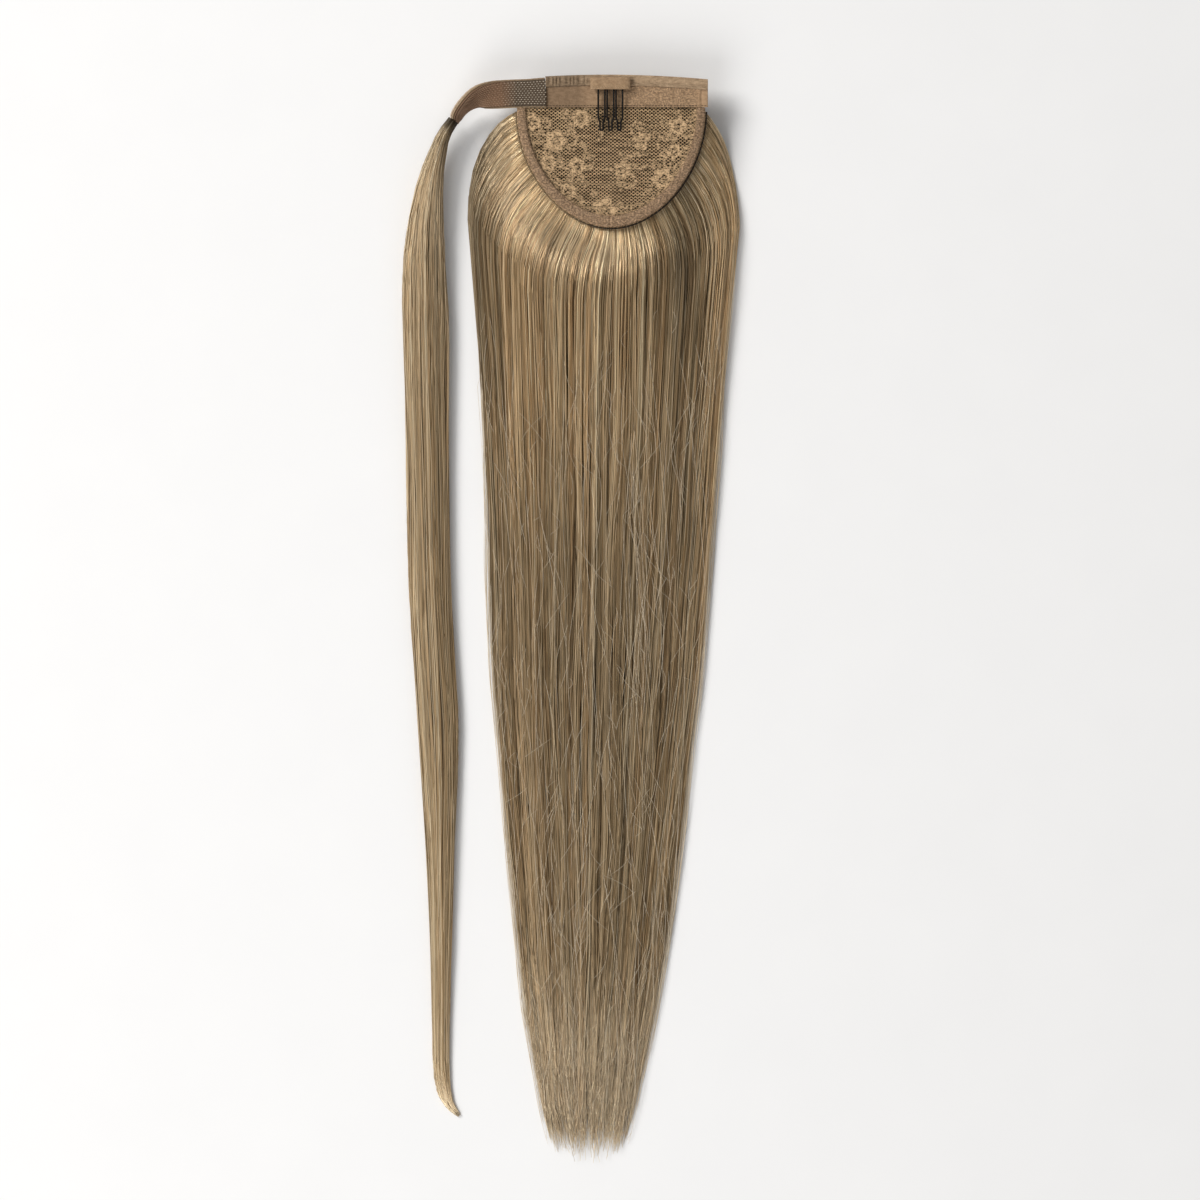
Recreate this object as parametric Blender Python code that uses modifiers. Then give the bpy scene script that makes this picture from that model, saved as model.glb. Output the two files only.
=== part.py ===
"""A wrap-round ponytail hairpiece, lying flat with the inside of its cap facing up.

The cap is a half-moon of lace with a bound rim, a flat top band, an elastic casing and a small wire comb in
a cloth tab. Hair sewn round the rim fans out from under the cap and falls 50 cm. A hook-and-loop strap runs
from the cap's left corner, twists on edge and ends in the thin lock that is wrapped round the ponytail.

Metres, +Z up, +Y towards the cap's straight edge. The origin is the middle of the footprint, on the surface
that the piece lies on. The tables below are in millimetres.
"""

import math
from collections import namedtuple

import bmesh
import bpy
import numpy as np
from mathutils import Vector

MM = 0.001

# The gap that neighbouring pieces keep
GAP = 0.3

# Cap
CAP_MIDDLE_X = 21.5
CAP_HALF_WIDTH = 51.7
CAP_SHOULDER_Y = 278.3
CAP_DEPTH = 63.8
CAP_ROUNDNESS = 1.9
CAP_TOP_Y = 298.0
CAP_TOP_ARCH = 2.6
CAP_TOP_ARCH_X = 19.0
CAP_TOP_ARCH_RUN = 56.0
LACE_THICK = 1.0
LACE_LEVEL = 19.0
LACE_SEAM_EASE = 0.25
LACE_SAG = 1.2
LACE_FREE_HALF = 0.88
TAPE_THICK = 1.0

# Rim binding, a folded tape: its half height is measured to the middle of the cloth
BINDING_HALF_HEIGHT = LACE_THICK / 2 + GAP + TAPE_THICK / 2
BINDING_SIDE_WIDTH = 4.3
BINDING_FRONT_WIDTH = 6.6
BINDING_UNDER_WIDTH = 3.0
BINDING_TOP_SHARE = 0.36
BINDING_FOLD_SHARE = 0.28

# Sewn weft track, just outside the binding
TRACK_WIDTH = 1.2
TRACK_HEIGHT = 1.5

# Top band, casing and comb tab
TOP_LAYER = LACE_LEVEL + LACE_THICK / 2 + GAP
BAND_LEFT = -14.5
BAND_RIGHT = 74.6
BAND_BOTTOM_Y = 280.4
CASING_HEIGHT = 5.6
CASING_THICK = 2.0
TAB_WIDTH = 21.5
TAB_HEIGHT = 7.2
TAB_WALL = 1.0
TAB_MIDDLE_X = 21.1
TAB_BOTTOM_Y = 289.6
WIRE = 0.9
POCKET_MARGIN = 1.6
POCKET_MOUTH = 2.0
TAB_SOFT_EDGE = 0.4

# Comb of one bent wire
TEETH = 3
TOOTH_PITCH = 4.85
TOOTH_HALF_WIDTH = 1.8
TOOTH_TIP_HALF_WIDTH = 0.85
TOOTH_REACH = 22.3
TOOTH_NECK_START = 14.5
TOOTH_NECK_END = 17.8
COMB_SEAT = 4.2
COMB_DROP = 3.5

# Strap
HOOK_TAPE_SHARE = 0.92

StrapRow = namedtuple("StrapRow", "x y z width roll")
STRAP = (
    StrapRow(-15.1, 288.4, 20.4, 15.0, 0),
    StrapRow(-25.4, 288.0, 20.4, 15.0, 0),
    StrapRow(-35.8, 287.6, 20.4, 15.0, 0),
    StrapRow(-46.2, 286.9, 20.1, 14.8, 22),
    StrapRow(-51.9, 285.8, 19.4, 14.4, 44),
    StrapRow(-56.8, 283.2, 18.0, 13.8, 60),
    StrapRow(-60.9, 279.6, 16.4, 12.8, 68),
    StrapRow(-63.6, 275.6, 14.8, 11.8, 71),
    StrapRow(-65.4, 271.3, 13.2, 11.0, 74),
)

# Hair fall: its outline seen from above and its thickness, from under the band down to the tips
FallRow = namedtuple("FallRow", "y left right height")
FALL = (
    FallRow(294.0, -18.0, 62.0, 8.0),
    FallRow(290.0, -26.0, 69.0, 13.0),
    FallRow(278.3, -38.0, 75.5, 16.0),
    FallRow(268.4, -47.3, 81.4, 16.5),
    FallRow(258.5, -51.7, 85.8, 17.0),
    FallRow(242.0, -56.1, 89.8, 18.0),
    FallRow(224.4, -57.8, 92.3, 18.5),
    FallRow(208.0, -57.3, 92.9, 19.0),
    FallRow(185.9, -54.4, 90.4, 19.0),
    FallRow(141.9, -51.5, 85.4, 17.0),
    FallRow(97.9, -48.4, 81.9, 15.0),
    FallRow(53.9, -46.2, 78.1, 13.5),
    FallRow(9.9, -45.5, 74.3, 12.5),
    FallRow(-34.1, -43.4, 70.4, 11.5),
    FallRow(-78.1, -39.6, 64.9, 10.5),
    FallRow(-122.1, -35.7, 60.3, 9.5),
    FallRow(-166.1, -30.8, 54.2, 8.5),
    FallRow(-210.1, -26.7, 46.6, 7.5),
    FallRow(-243.1, -21.4, 40.2, 6.5),
    FallRow(-276.1, -15.5, 33.0, 5.0),
    FallRow(-300.0, -8.8, 27.5, 3.5),
)

# The fall's locks: how they crowd at the sides, their size, and how they end
FALL_LOCKS = 13
FALL_EDGE = 0.95
FALL_SIDE_CROWDING = 1.8
FALL_CROWN = 2.6
FALL_TIP_Y = -300.0
FALL_TIP_RISE = 20.0
FALL_TIP_SCATTER = 9.0
LOCK_OVERLAP = 0.62
LOCK_LEAST_HALF_WIDE = 2.4
LOCK_MOST_HALF_WIDE = 9.0
LOCK_MOST_SHIFT = 5.0
LOCK_MOST_HALF_THICK = 5.0
LOCK_LIFT = 0.7
LOCK_TAPER = 48.0
LOCK_TIP = 0.2
LOCK_TAPER_FULLNESS = 0.7
LOCK_THICK_SHARE = 0.46
LOCK_TIP_LEVEL = 0.35
LOCK_FLOOR_GAP = 0.2
LOCK_LIFT_STEPS = 5
LOCK_SIDES = 8
LOCK_STEPS_ROUND = 7
LOCK_STEPS_DOWN = 11

# How hair turns from the rim into the fall
TURN_LENGTH = 40.0
TURN_LENGTH_SIDE = 14.0
TURN_START = 13.0
TURN_START_SIDE = 3.0
TURN_END = 25.0
SHOULDER_SETTLED_Y = 258.0
HAIR_DROOP = 0.4
HAIR_DROOP_RIGHT = 0.7
ROOT_TUCK = 9.0
ROOT_TOP = LACE_LEVEL - BINDING_HALF_HEIGHT - TAPE_THICK / 2 - GAP

# The fall's inner mass
CORE_INSET = 5.0
CORE_HEIGHT_SHARE = 0.84
CORE_END_Y = -262.0
CORE_THINS_OVER = 58.0
CORE_END_HEIGHT = 0.34
CORE_END_WIDTH = 0.76
CORE_FLATNESS = 0.8
CORE_ARC_POINTS = 11
CORE_SQUARENESS = 0.4

# Wrap lock: middle of the lock seen from above, half its width, and the heights of its under and upper side
LockRow = namedtuple("LockRow", "x y half_width bottom top")
WRAP_LOCK = (
    LockRow(-66.7, 271.35, 2.9, 7.8, 18.6),
    LockRow(-69.8, 266.8, 3.5, 7.2, 18.6),
    LockRow(-71.8, 262.4, 4.0, 6.6, 18.2),
    LockRow(-73.4, 257.4, 4.6, 6.0, 17.6),
    LockRow(-75.4, 250.8, 5.5, 5.2, 17.0),
    LockRow(-77.6, 240.9, 6.9, 4.0, 16.0),
    LockRow(-79.0, 231.0, 8.2, 3.0, 15.0),
    LockRow(-80.2, 217.8, 9.7, 1.6, 13.5),
    LockRow(-81.0, 202.4, 11.3, 0.4, 12.0),
    LockRow(-80.9, 180.4, 12.5, 0.0, 10.8),
    LockRow(-80.3, 152.9, 12.6, 0.0, 10.0),
    LockRow(-79.8, 119.9, 11.9, 0.0, 9.2),
    LockRow(-79.5, 64.9, 11.6, 0.0, 8.6),
    LockRow(-78.1, 9.9, 11.4, 0.0, 8.1),
    LockRow(-74.4, -45.1, 11.3, 0.0, 7.6),
    LockRow(-73.1, -78.1, 10.4, 0.0, 7.2),
    LockRow(-72.8, -111.1, 8.6, 0.0, 6.7),
    LockRow(-72.5, -144.1, 7.0, 0.0, 6.2),
    LockRow(-72.2, -177.1, 6.0, 0.0, 5.7),
    LockRow(-72.3, -210.1, 5.2, 0.0, 4.9),
    LockRow(-72.3, -237.6, 4.7, 0.0, 4.0),
    LockRow(-71.6, -256.9, 3.8, 0.0, 3.2),
    LockRow(-67.6, -267.9, 2.4, 0.0, 2.6),
    LockRow(-61.9, -274.4, 0.9, 0.0, 1.7),
)

# Strands of the wrap lock: place across it, height against the table's, and how many of the table's rows
# each starts after the first and stops before the last
StrandRow = namedtuple("StrandRow", "across height first shorter")
WRAP_STRANDS = (
    StrandRow(0.33, 1.0, 0.0, 0.0),
    StrandRow(-0.3, 0.97, 0.05, 0.7),
    StrandRow(0.92, 0.85, 0.3, 1.2),
    StrandRow(-0.95, 0.82, 0.35, 2.1),
)
WRAP_STRAND_SHARE = 0.42
WRAP_STEPS = 20
WRAP_TAPER = 4.0
WRAP_TIP = 0.2

Finish = namedtuple("Finish", "colour roughness metallic")
FINISHES = {
    "ash_blonde_hair": Finish((0.30, 0.22, 0.135), 0.42, 0.0),
    "beige_lace": Finish((0.36, 0.24, 0.13), 0.85, 0.0),
    "beige_tape": Finish((0.38, 0.25, 0.145), 0.75, 0.0),
    "brown_hook_tape": Finish((0.16, 0.105, 0.06), 0.7, 0.0),
    "dark_thread": Finish((0.03, 0.02, 0.012), 0.8, 0.0),
    "black_wire": Finish((0.012, 0.011, 0.01), 0.35, 0.0),
}


def fresh_collections():
    """The part's own collection, and one for its cutters, in an empty scene."""
    for old in list(bpy.data.objects):
        bpy.data.objects.remove(old)
    made = []
    for name in ("ponytail_hairpiece", "cutters_and_unions"):
        collection = bpy.data.collections.new(name)
        bpy.context.scene.collection.children.link(collection)
        made.append(collection)
    return made


def finish(name):
    """The Principled material of that name, made once."""
    if name in bpy.data.materials:
        return bpy.data.materials[name]
    colour, roughness, metallic = FINISHES[name]
    material = bpy.data.materials.new(name)
    material.use_nodes = True
    shader = material.node_tree.nodes["Principled BSDF"]
    shader.inputs["Base Color"].default_value = (*colour, 1.0)
    shader.inputs["Roughness"].default_value = roughness
    shader.inputs["Metallic"].default_value = metallic
    material.diffuse_color = (*colour, 1.0)
    return material


def add_object(name, data, material, collection):
    """A new object in that collection, with one material."""
    thing = bpy.data.objects.new(name, data)
    collection.objects.link(thing)
    data.materials.append(finish(material))
    return thing


def mesh_of(name, shape):
    """A mesh made from a bmesh in millimetres, shaded smooth up to 40 degrees."""
    bmesh.ops.recalc_face_normals(shape, faces=shape.faces)
    bmesh.ops.scale(shape, vec=(MM, MM, MM), verts=shape.verts)
    mesh = bpy.data.meshes.new(name)
    shape.to_mesh(mesh)
    shape.free()
    mesh.shade_smooth()
    mesh.set_sharp_from_angle(angle=math.radians(40))
    return mesh


def loft(name, rings):
    """A closed skin through rings that all have the same number of points."""
    shape = bmesh.new()
    made = [[shape.verts.new(point) for point in ring] for ring in rings]
    for ring, following in zip(made, made[1:]):
        for i, corner in enumerate(ring):
            beside = (i + 1) % len(ring)
            shape.faces.new((corner, ring[beside], following[beside], following[i]))
    shape.faces.new(made[0])
    shape.faces.new(made[-1])
    return mesh_of(name, shape)


def cloth(name, columns, rows, place, thickness, material, collection):
    """A sheet of cloth with a thickness: a flat grid whose points go where place(across, along) says."""
    shape = bmesh.new()
    bmesh.ops.create_grid(shape, x_segments=columns, y_segments=rows, size=1.0)
    for corner in shape.verts:
        corner.co = place(corner.co.x, corner.co.y)
    sheet = add_object(name, mesh_of(name, shape), material, collection)
    wall = sheet.modifiers.new("cloth thickness", "SOLIDIFY")
    wall.thickness = thickness * MM
    wall.offset = 0
    wall.use_even_offset = True
    return sheet


def smooth_read(keys, values, at):
    """A smooth curve through values at rising keys, read at one key."""
    slopes = np.gradient(values, keys)
    i = int(np.clip(np.searchsorted(keys, at) - 1, 0, len(keys) - 2))
    step = keys[i + 1] - keys[i]
    t = float(np.clip((at - keys[i]) / step, 0, 1))
    return float(
        values[i] * (1 + 2 * t) * (1 - t) ** 2
        + values[i + 1] * t * t * (3 - 2 * t)
        + step * t * (1 - t) * (slopes[i] * (1 - t) - slopes[i + 1] * t)
    )


def row_between(rows, at):
    """The table read smoothly between its rows: 2.5 is half-way from the third row to the fourth."""
    places = np.arange(len(rows), dtype=float)
    return type(rows[0])(*(smooth_read(places, np.array(column), at) for column in zip(*rows)))


def fall_at(column, y):
    """One column of the fall's table at that y."""
    keys = np.array([row.y for row in reversed(FALL)])
    values = np.array([getattr(row, column) for row in reversed(FALL)])
    return smooth_read(keys, values, y)


def ease(t):
    """0 to 1 with level ends."""
    t = min(1.0, max(0.0, t))
    return t * t * (3 - 2 * t)


def top_edge_y(x):
    """The cap's slightly arched straight edge."""
    return CAP_TOP_Y - CAP_TOP_ARCH * ((x - CAP_TOP_ARCH_X) / CAP_TOP_ARCH_RUN) ** 2


def rim_point(turn, inset=0.0):
    """A point of the half-moon rim and its outward direction, for a turn of -1 (left corner) to 1 (right)."""
    angle = turn * math.pi / 2
    power = 2 / CAP_ROUNDNESS
    across = math.copysign(abs(math.sin(angle)) ** power, angle)
    down = max(0.0, math.cos(angle)) ** power
    outward = Vector(
        (
            math.copysign(abs(across) ** (CAP_ROUNDNESS - 1), across) / CAP_HALF_WIDTH,
            -(down ** (CAP_ROUNDNESS - 1)) / CAP_DEPTH,
        )
    ).normalized()
    point = Vector((CAP_MIDDLE_X + CAP_HALF_WIDTH * across, CAP_SHOULDER_Y - CAP_DEPTH * down))
    return point - outward * inset, outward


def lace_panel(parts):
    """The half-moon of lace, sagging a little between the band and the rim."""
    inset = BINDING_HALF_HEIGHT + GAP + LACE_SEAM_EASE
    half_width = CAP_HALF_WIDTH - inset
    depth = CAP_DEPTH - inset

    def place(across, along):
        reach = math.sin(across * math.pi / 2)
        x = CAP_MIDDLE_X + half_width * reach
        bottom = CAP_SHOULDER_Y - depth * (1 - abs(reach) ** CAP_ROUNDNESS) ** (1 / CAP_ROUNDNESS)
        top = top_edge_y(x) - inset
        y = bottom + (top - bottom) * (along + 1) / 2
        free_start = bottom + BINDING_FRONT_WIDTH
        free = (y - free_start) / max(1.0, BAND_BOTTOM_Y - free_start)
        free = min(1.0, max(0.0, free))
        sag = LACE_SAG * 4 * free * (1 - free) * max(0.0, 1 - (reach / LACE_FREE_HALF) ** 2)
        return Vector((x, y, LACE_LEVEL - sag))

    return cloth("lace_panel", 22, 12, place, LACE_THICK, "beige_lace", parts)


def rim_binding(parts):
    """The tape folded over the lace's rim."""
    half = BINDING_HALF_HEIGHT

    def fold(share, width):
        """The tape's path across the rim: inward distance from its outer edge, and height."""
        if share < BINDING_TOP_SHARE:
            return width + (half - width) * share / BINDING_TOP_SHARE, half
        if share <= BINDING_TOP_SHARE + BINDING_FOLD_SHARE:
            angle = math.pi * (share - BINDING_TOP_SHARE) / BINDING_FOLD_SHARE
            return half - half * math.sin(angle), half * math.cos(angle)
        under = 1 - (1 - share) / (1 - BINDING_TOP_SHARE - BINDING_FOLD_SHARE)
        return half + (BINDING_UNDER_WIDTH - half) * under, -half

    def place(across, along):
        front = math.cos(across * math.pi / 2) ** 2
        width = BINDING_SIDE_WIDTH + (BINDING_FRONT_WIDTH - BINDING_SIDE_WIDTH) * front
        inward, height = fold((along + 1) / 2, width)
        inward += TAPE_THICK / 2
        point, _ = rim_point(across, inward)
        return Vector((point.x, point.y, LACE_LEVEL + height))

    return cloth("rim_binding", 40, 11, place, TAPE_THICK, "beige_tape", parts)


def weft_track(parts):
    """The dark sewn edge of the hair weft, round the outside of the binding's lower half."""
    middle = LACE_LEVEL - BINDING_HALF_HEIGHT + TRACK_HEIGHT / 2
    out = GAP + TRACK_WIDTH / 2
    rings = []
    for i in range(41):
        point, outward = rim_point(-1 + i / 20)
        centre = point + outward * out
        rings.append(
            [
                Vector((*(centre + outward * side), middle + level))
                for side, level in (
                    (-TRACK_WIDTH / 2, -TRACK_HEIGHT / 2),
                    (TRACK_WIDTH / 2, -TRACK_HEIGHT / 2),
                    (TRACK_WIDTH / 2, TRACK_HEIGHT / 2),
                    (-TRACK_WIDTH / 2, TRACK_HEIGHT / 2),
                )
            ]
        )
    return add_object("weft_track", loft("weft_track", rings), "dark_thread", parts)


def top_strip(name, top_drop, bottom, level, thickness, material, parts):
    """A strip of cloth along the cap's straight edge, from top_drop under the edge down to bottom(x)."""

    def place(across, along):
        x = BAND_LEFT + (BAND_RIGHT - BAND_LEFT) * (across + 1) / 2
        high = top_edge_y(x) - top_drop
        low = bottom(x)
        return Vector((x, low + (high - low) * (along + 1) / 2, level + thickness / 2))

    return cloth(name, 14, 2, place, thickness, material, parts)


def band_and_casing(parts):
    """The flat top band, and the raised casing of the elastic above it."""
    seam = CASING_HEIGHT + GAP
    top_strip("top_band", seam, lambda x: BAND_BOTTOM_Y, TOP_LAYER, TAPE_THICK, "beige_tape", parts)
    top_strip(
        "elastic_casing",
        0.0,
        lambda x: top_edge_y(x) - CASING_HEIGHT,
        TOP_LAYER,
        CASING_THICK,
        "beige_tape",
        parts,
    )


def box(name, low, high, material, collection):
    """A box between two corners, in millimetres."""
    bpy.ops.mesh.primitive_cube_add(size=1.0)
    made = bpy.context.object
    made.name = name
    made.data.name = name
    for corner in made.data.vertices:
        corner.co = [
            (low[i] + (high[i] - low[i]) * (corner.co[i] + 0.5)) * MM for i in range(3)
        ]
    for home in list(made.users_collection):
        home.objects.unlink(made)
    collection.objects.link(made)
    made.data.materials.append(finish(material))
    return made


def comb_tab(parts, helpers):
    """The cloth pocket that is sewn over the comb's back."""
    level = TOP_LAYER + CASING_THICK + GAP
    pocket = WIRE + 2 * GAP
    left, right = TAB_MIDDLE_X - TAB_WIDTH / 2, TAB_MIDDLE_X + TAB_WIDTH / 2
    tab = box(
        "comb_tab",
        (left, TAB_BOTTOM_Y, level),
        (right, TAB_BOTTOM_Y + TAB_HEIGHT, level + 2 * TAB_WALL + pocket),
        "beige_tape",
        parts,
    )
    edge = tab.modifiers.new("soft edges", "BEVEL")
    edge.width = TAB_SOFT_EDGE * MM
    edge.segments = 2
    cutter = box(
        "comb_pocket",
        (left + POCKET_MARGIN, TAB_BOTTOM_Y - POCKET_MOUTH, level + TAB_WALL),
        (right - POCKET_MARGIN, TAB_BOTTOM_Y + TAB_HEIGHT - POCKET_MARGIN, level + TAB_WALL + pocket),
        "beige_tape",
        helpers,
    )
    cutter.hide_render = True
    cutter.display_type = "WIRE"
    opening = tab.modifiers.new("pocket", "BOOLEAN")
    opening.operation = "DIFFERENCE"
    opening.solver = "EXACT"
    opening.object = cutter
    return tab


def comb_wire_path():
    """The bent wire from above, down and up each tooth, from the comb's middle and the tab's lower edge."""
    tip_y = -(TOOTH_REACH - TOOTH_TIP_HALF_WIDTH - WIRE / 2)
    turn_radius = (TOOTH_PITCH - 2 * TOOTH_HALF_WIDTH) / 2
    back_y = COMB_SEAT - turn_radius
    side = [(TOOTH_HALF_WIDTH, y) for y in np.linspace(back_y, -TOOTH_NECK_START, 6)]
    for share in (0.25, 0.5, 0.75, 1.0):
        half = TOOTH_HALF_WIDTH + (TOOTH_TIP_HALF_WIDTH - TOOTH_HALF_WIDTH) * ease(share)
        side.append((half, -TOOTH_NECK_START + (TOOTH_NECK_START - TOOTH_NECK_END) * share))
    side.append((TOOTH_TIP_HALF_WIDTH, tip_y))
    tip = [
        (-TOOTH_TIP_HALF_WIDTH * math.cos(angle), tip_y - TOOTH_TIP_HALF_WIDTH * math.sin(angle))
        for angle in np.linspace(0, math.pi, 7)[1:-1]
    ]
    tooth = [(-half, y) for half, y in side] + tip + list(reversed(side))
    path = []
    for number in range(TEETH):
        middle = (number - (TEETH - 1) / 2) * TOOTH_PITCH
        path += [(middle + x, y) for x, y in tooth]
        if number < TEETH - 1:
            turn = middle + TOOTH_PITCH / 2
            path += [
                (turn - turn_radius * math.cos(angle), back_y + turn_radius * math.sin(angle))
                for angle in np.linspace(0, math.pi, 6)[1:-1]
            ]
    return path


def wire_comb(parts):
    """The comb: one black wire, held in the tab and resting its teeth just over the lace."""
    seat_level = TOP_LAYER + CASING_THICK + GAP + TAB_WALL + GAP + WIRE / 2
    curve = bpy.data.curves.new("wire_comb", "CURVE")
    curve.dimensions = "3D"
    curve.bevel_depth = WIRE / 2 * MM
    curve.bevel_resolution = 2
    curve.use_fill_caps = True
    path = comb_wire_path()
    spline = curve.splines.new("POLY")
    spline.points.add(len(path) - 1)
    for point, (x, y) in zip(spline.points, path):
        level = seat_level - COMB_DROP * ease(-y / TOOTH_REACH)
        point.co = (
            (TAB_MIDDLE_X + x) * MM,
            (TAB_BOTTOM_Y + y) * MM,
            level * MM,
            1.0,
        )
    return add_object("wire_comb", curve, "black_wire", parts)


def strap_ring(row, forward, lift, width_share, thickness):
    """One cross-section of a tape on the strap's line, raised by lift along the tape's own normal."""
    side = Vector((forward.y, -forward.x, 0.0))
    roll = math.radians(row.roll)
    up = Vector((0, 0, 1))
    wide = side * math.cos(roll) + up * math.sin(roll)
    normal = up * math.cos(roll) - side * math.sin(roll)
    centre = Vector((row.x, row.y, row.z)) + normal * lift
    half_width, half_thick = row.width / 2 * width_share, thickness / 2
    return [
        centre + wide * half_width * a + normal * half_thick * b
        for a, b in ((-1, -1), (1, -1), (1, 1), (-1, 1))
    ]


def stations(rows, places):
    """The table read smoothly at places between its first and last row, with the plan direction at each."""
    last = len(rows) - 1
    found = []
    for at in places:
        before, after = row_between(rows, max(0, at - 0.2)), row_between(rows, min(last, at + 0.2))
        forward = Vector((after.x - before.x, after.y - before.y, 0)).normalized()
        found.append((row_between(rows, at), forward))
    return found


def strap(parts):
    """The strap's backing tape, and the hook tape sewn along its face."""
    along = stations(STRAP, np.linspace(0, len(STRAP) - 1, 25))
    backing = [strap_ring(row, forward, 0.0, 1.0, TAPE_THICK) for row, forward in along]
    lift = TAPE_THICK + GAP
    hooks = [strap_ring(row, forward, lift, HOOK_TAPE_SHARE, TAPE_THICK) for row, forward in along]
    add_object("strap_tape", loft("strap_tape", backing), "beige_tape", parts)
    add_object("hook_tape", loft("hook_tape", hooks), "brown_hook_tape", parts)


def fall_share(turn):
    """Where hair sewn at that turn of the rim lies across the fall, from -1 at the left edge to 1."""
    spread = 1 - (1 - abs(turn)) ** FALL_SIDE_CROWDING
    return FALL_EDGE * math.copysign(spread, turn)


def fall_x(share, y):
    """The plan line that hair at that share of the fall's width follows."""
    left, right = fall_at("left", y), fall_at("right", y)
    return left + (right - left) * (share + 1) / 2


def fall_room(x, y):
    """How far the point lies inside the fall's outline."""
    return min(x - fall_at("left", y), fall_at("right", y) - x)


def fall_top(share, y):
    """The height of the fall's upper surface."""
    return fall_at("height", y) * (1 - abs(share) ** FALL_CROWN) ** 0.5


def hair_line(turn, tip_y, steps_round, steps_down):
    """The way of hair sewn at that turn: (x, y, height of its upper side) from under the rim to its tip."""
    root, outward = rim_point(turn)
    droop = HAIR_DROOP + HAIR_DROOP_RIGHT * max(0.0, turn) ** 2
    lean = (outward + Vector((0, -droop))).normalized()
    share = fall_share(turn)
    crowd = abs(turn)
    meet_y = root.y - TURN_LENGTH - TURN_LENGTH_SIDE * crowd
    meet = Vector((fall_x(share, meet_y), meet_y))
    slope = Vector((fall_x(share, meet_y - 5) - meet.x, -5)).normalized()
    start = TURN_START - TURN_START_SIDE * crowd * crowd
    bend = (root, root + lean * start, meet - slope * TURN_END, meet)
    tuck = root - outward * ROOT_TUCK
    line = [(tuck.x, tuck.y, ROOT_TOP)]
    for t in np.linspace(0, 1, steps_round):
        u = 1 - t
        point = (
            bend[0] * u**3
            + bend[1] * (3 * u * u * t)
            + bend[2] * (3 * u * t * t)
            + bend[3] * t**3
        )
        settled = fall_top(share, min(point.y, SHOULDER_SETTLED_Y))
        line.append((point.x, point.y, ROOT_TOP + (settled - ROOT_TOP) * ease(t)))
    for y in np.linspace(meet_y, tip_y, steps_down + 1)[1:]:
        line.append((fall_x(share, y), y, fall_top(share, y)))
    return line


def fall_lock(number):
    """One lock of the fall, as a loft of flattened rings."""
    step = 2 / (FALL_LOCKS - 1)
    turn = -1 + number * step
    scatter = FALL_TIP_SCATTER * (0.5 + 0.5 * math.sin(2.4 * number + 1))
    end_y = FALL_TIP_Y + FALL_TIP_RISE * fall_share(turn) ** 2 + scatter
    ends = (end_y, LOCK_STEPS_ROUND, LOCK_STEPS_DOWN)
    line = hair_line(turn, *ends)
    left = hair_line(max(-1.0, turn - step), *ends)
    right = hair_line(min(1.0, turn + step), *ends)
    neighbours = 2 if 0 < number < FALL_LOCKS - 1 else 1
    lift = LOCK_LIFT * (1 if number % 2 else -1)
    rings = []
    for i, (x, y, top) in enumerate(line):
        before, after = line[max(0, i - 1)], line[min(len(line) - 1, i + 1)]
        forward = Vector((after[0] - before[0], after[1] - before[1], 0)).normalized()
        side = Vector((-forward.y, forward.x, 0))
        spacing = math.dist(left[i][:2], right[i][:2]) / neighbours
        half_wide = min(LOCK_MOST_HALF_WIDE, max(LOCK_LEAST_HALF_WIDE, LOCK_OVERLAP * spacing))
        too_wide = max(0.0, half_wide - fall_room(x, y))
        inward = min(LOCK_MOST_SHIFT, too_wide)
        half_wide -= too_wide - inward
        x += inward if x < CAP_MIDDLE_X else -inward
        fade = min(1.0, max(0.0, (y - end_y) / LOCK_TAPER))
        taper = LOCK_TIP + (1 - LOCK_TIP) * (fade * (2 - fade)) ** LOCK_TAPER_FULLNESS
        raised = top + lift * ease((i - 1) / LOCK_LIFT_STEPS)
        half_thick = min(LOCK_MOST_HALF_THICK, LOCK_THICK_SHARE * raised)
        level = (raised - half_thick) * (LOCK_TIP_LEVEL + (1 - LOCK_TIP_LEVEL) * taper)
        half_thick *= taper
        centre = Vector((x, y, max(half_thick + LOCK_FLOOR_GAP, level)))
        rings.append(
            [
                centre
                + side * half_wide * taper * math.cos(angle)
                + Vector((0, 0, half_thick * math.sin(angle)))
                for angle in np.linspace(0, 2 * math.pi, LOCK_SIDES + 1)[:-1]
            ]
        )
    return loft(f"lock_{number}", rings)


def fall_core():
    """The inner mass of the fall, flat on its underside."""
    rows = [row for row in FALL if row.y > CORE_END_Y]
    rows.append(FallRow(CORE_END_Y, *(fall_at(column, CORE_END_Y) for column in FallRow._fields[1:])))
    rings = []
    for row in rows:
        thin = ease((row.y - CORE_END_Y) / CORE_THINS_OVER)
        left, right = row.left + CORE_INSET, row.right - CORE_INSET
        height = row.height * CORE_HEIGHT_SHARE * (CORE_END_HEIGHT + (1 - CORE_END_HEIGHT) * thin)
        half = (right - left) / 2 * (CORE_END_WIDTH + (1 - CORE_END_WIDTH) * thin)
        middle = (left + right) / 2
        ring = []
        for angle in np.linspace(0, math.pi, CORE_ARC_POINTS):
            across = math.copysign(abs(math.cos(angle)) ** CORE_FLATNESS, math.cos(angle))
            level = height * max(0.0, math.sin(angle)) ** CORE_SQUARENESS
            ring.append(Vector((middle + half * across, row.y, level)))
        rings.append(ring)
    return loft("fall_core", rings)


def fused(name, first, others, material, parts, helpers):
    """One solid: the first mesh with the others joined to it."""
    whole = add_object(name, first, material, parts)
    for mesh in others:
        helper = add_object(mesh.name, mesh, material, helpers)
        helper.hide_render = True
        helper.display_type = "WIRE"
        join = whole.modifiers.new(mesh.name, "BOOLEAN")
        join.operation = "UNION"
        join.solver = "EXACT"
        join.use_self = True
        join.object = helper
    return whole


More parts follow.
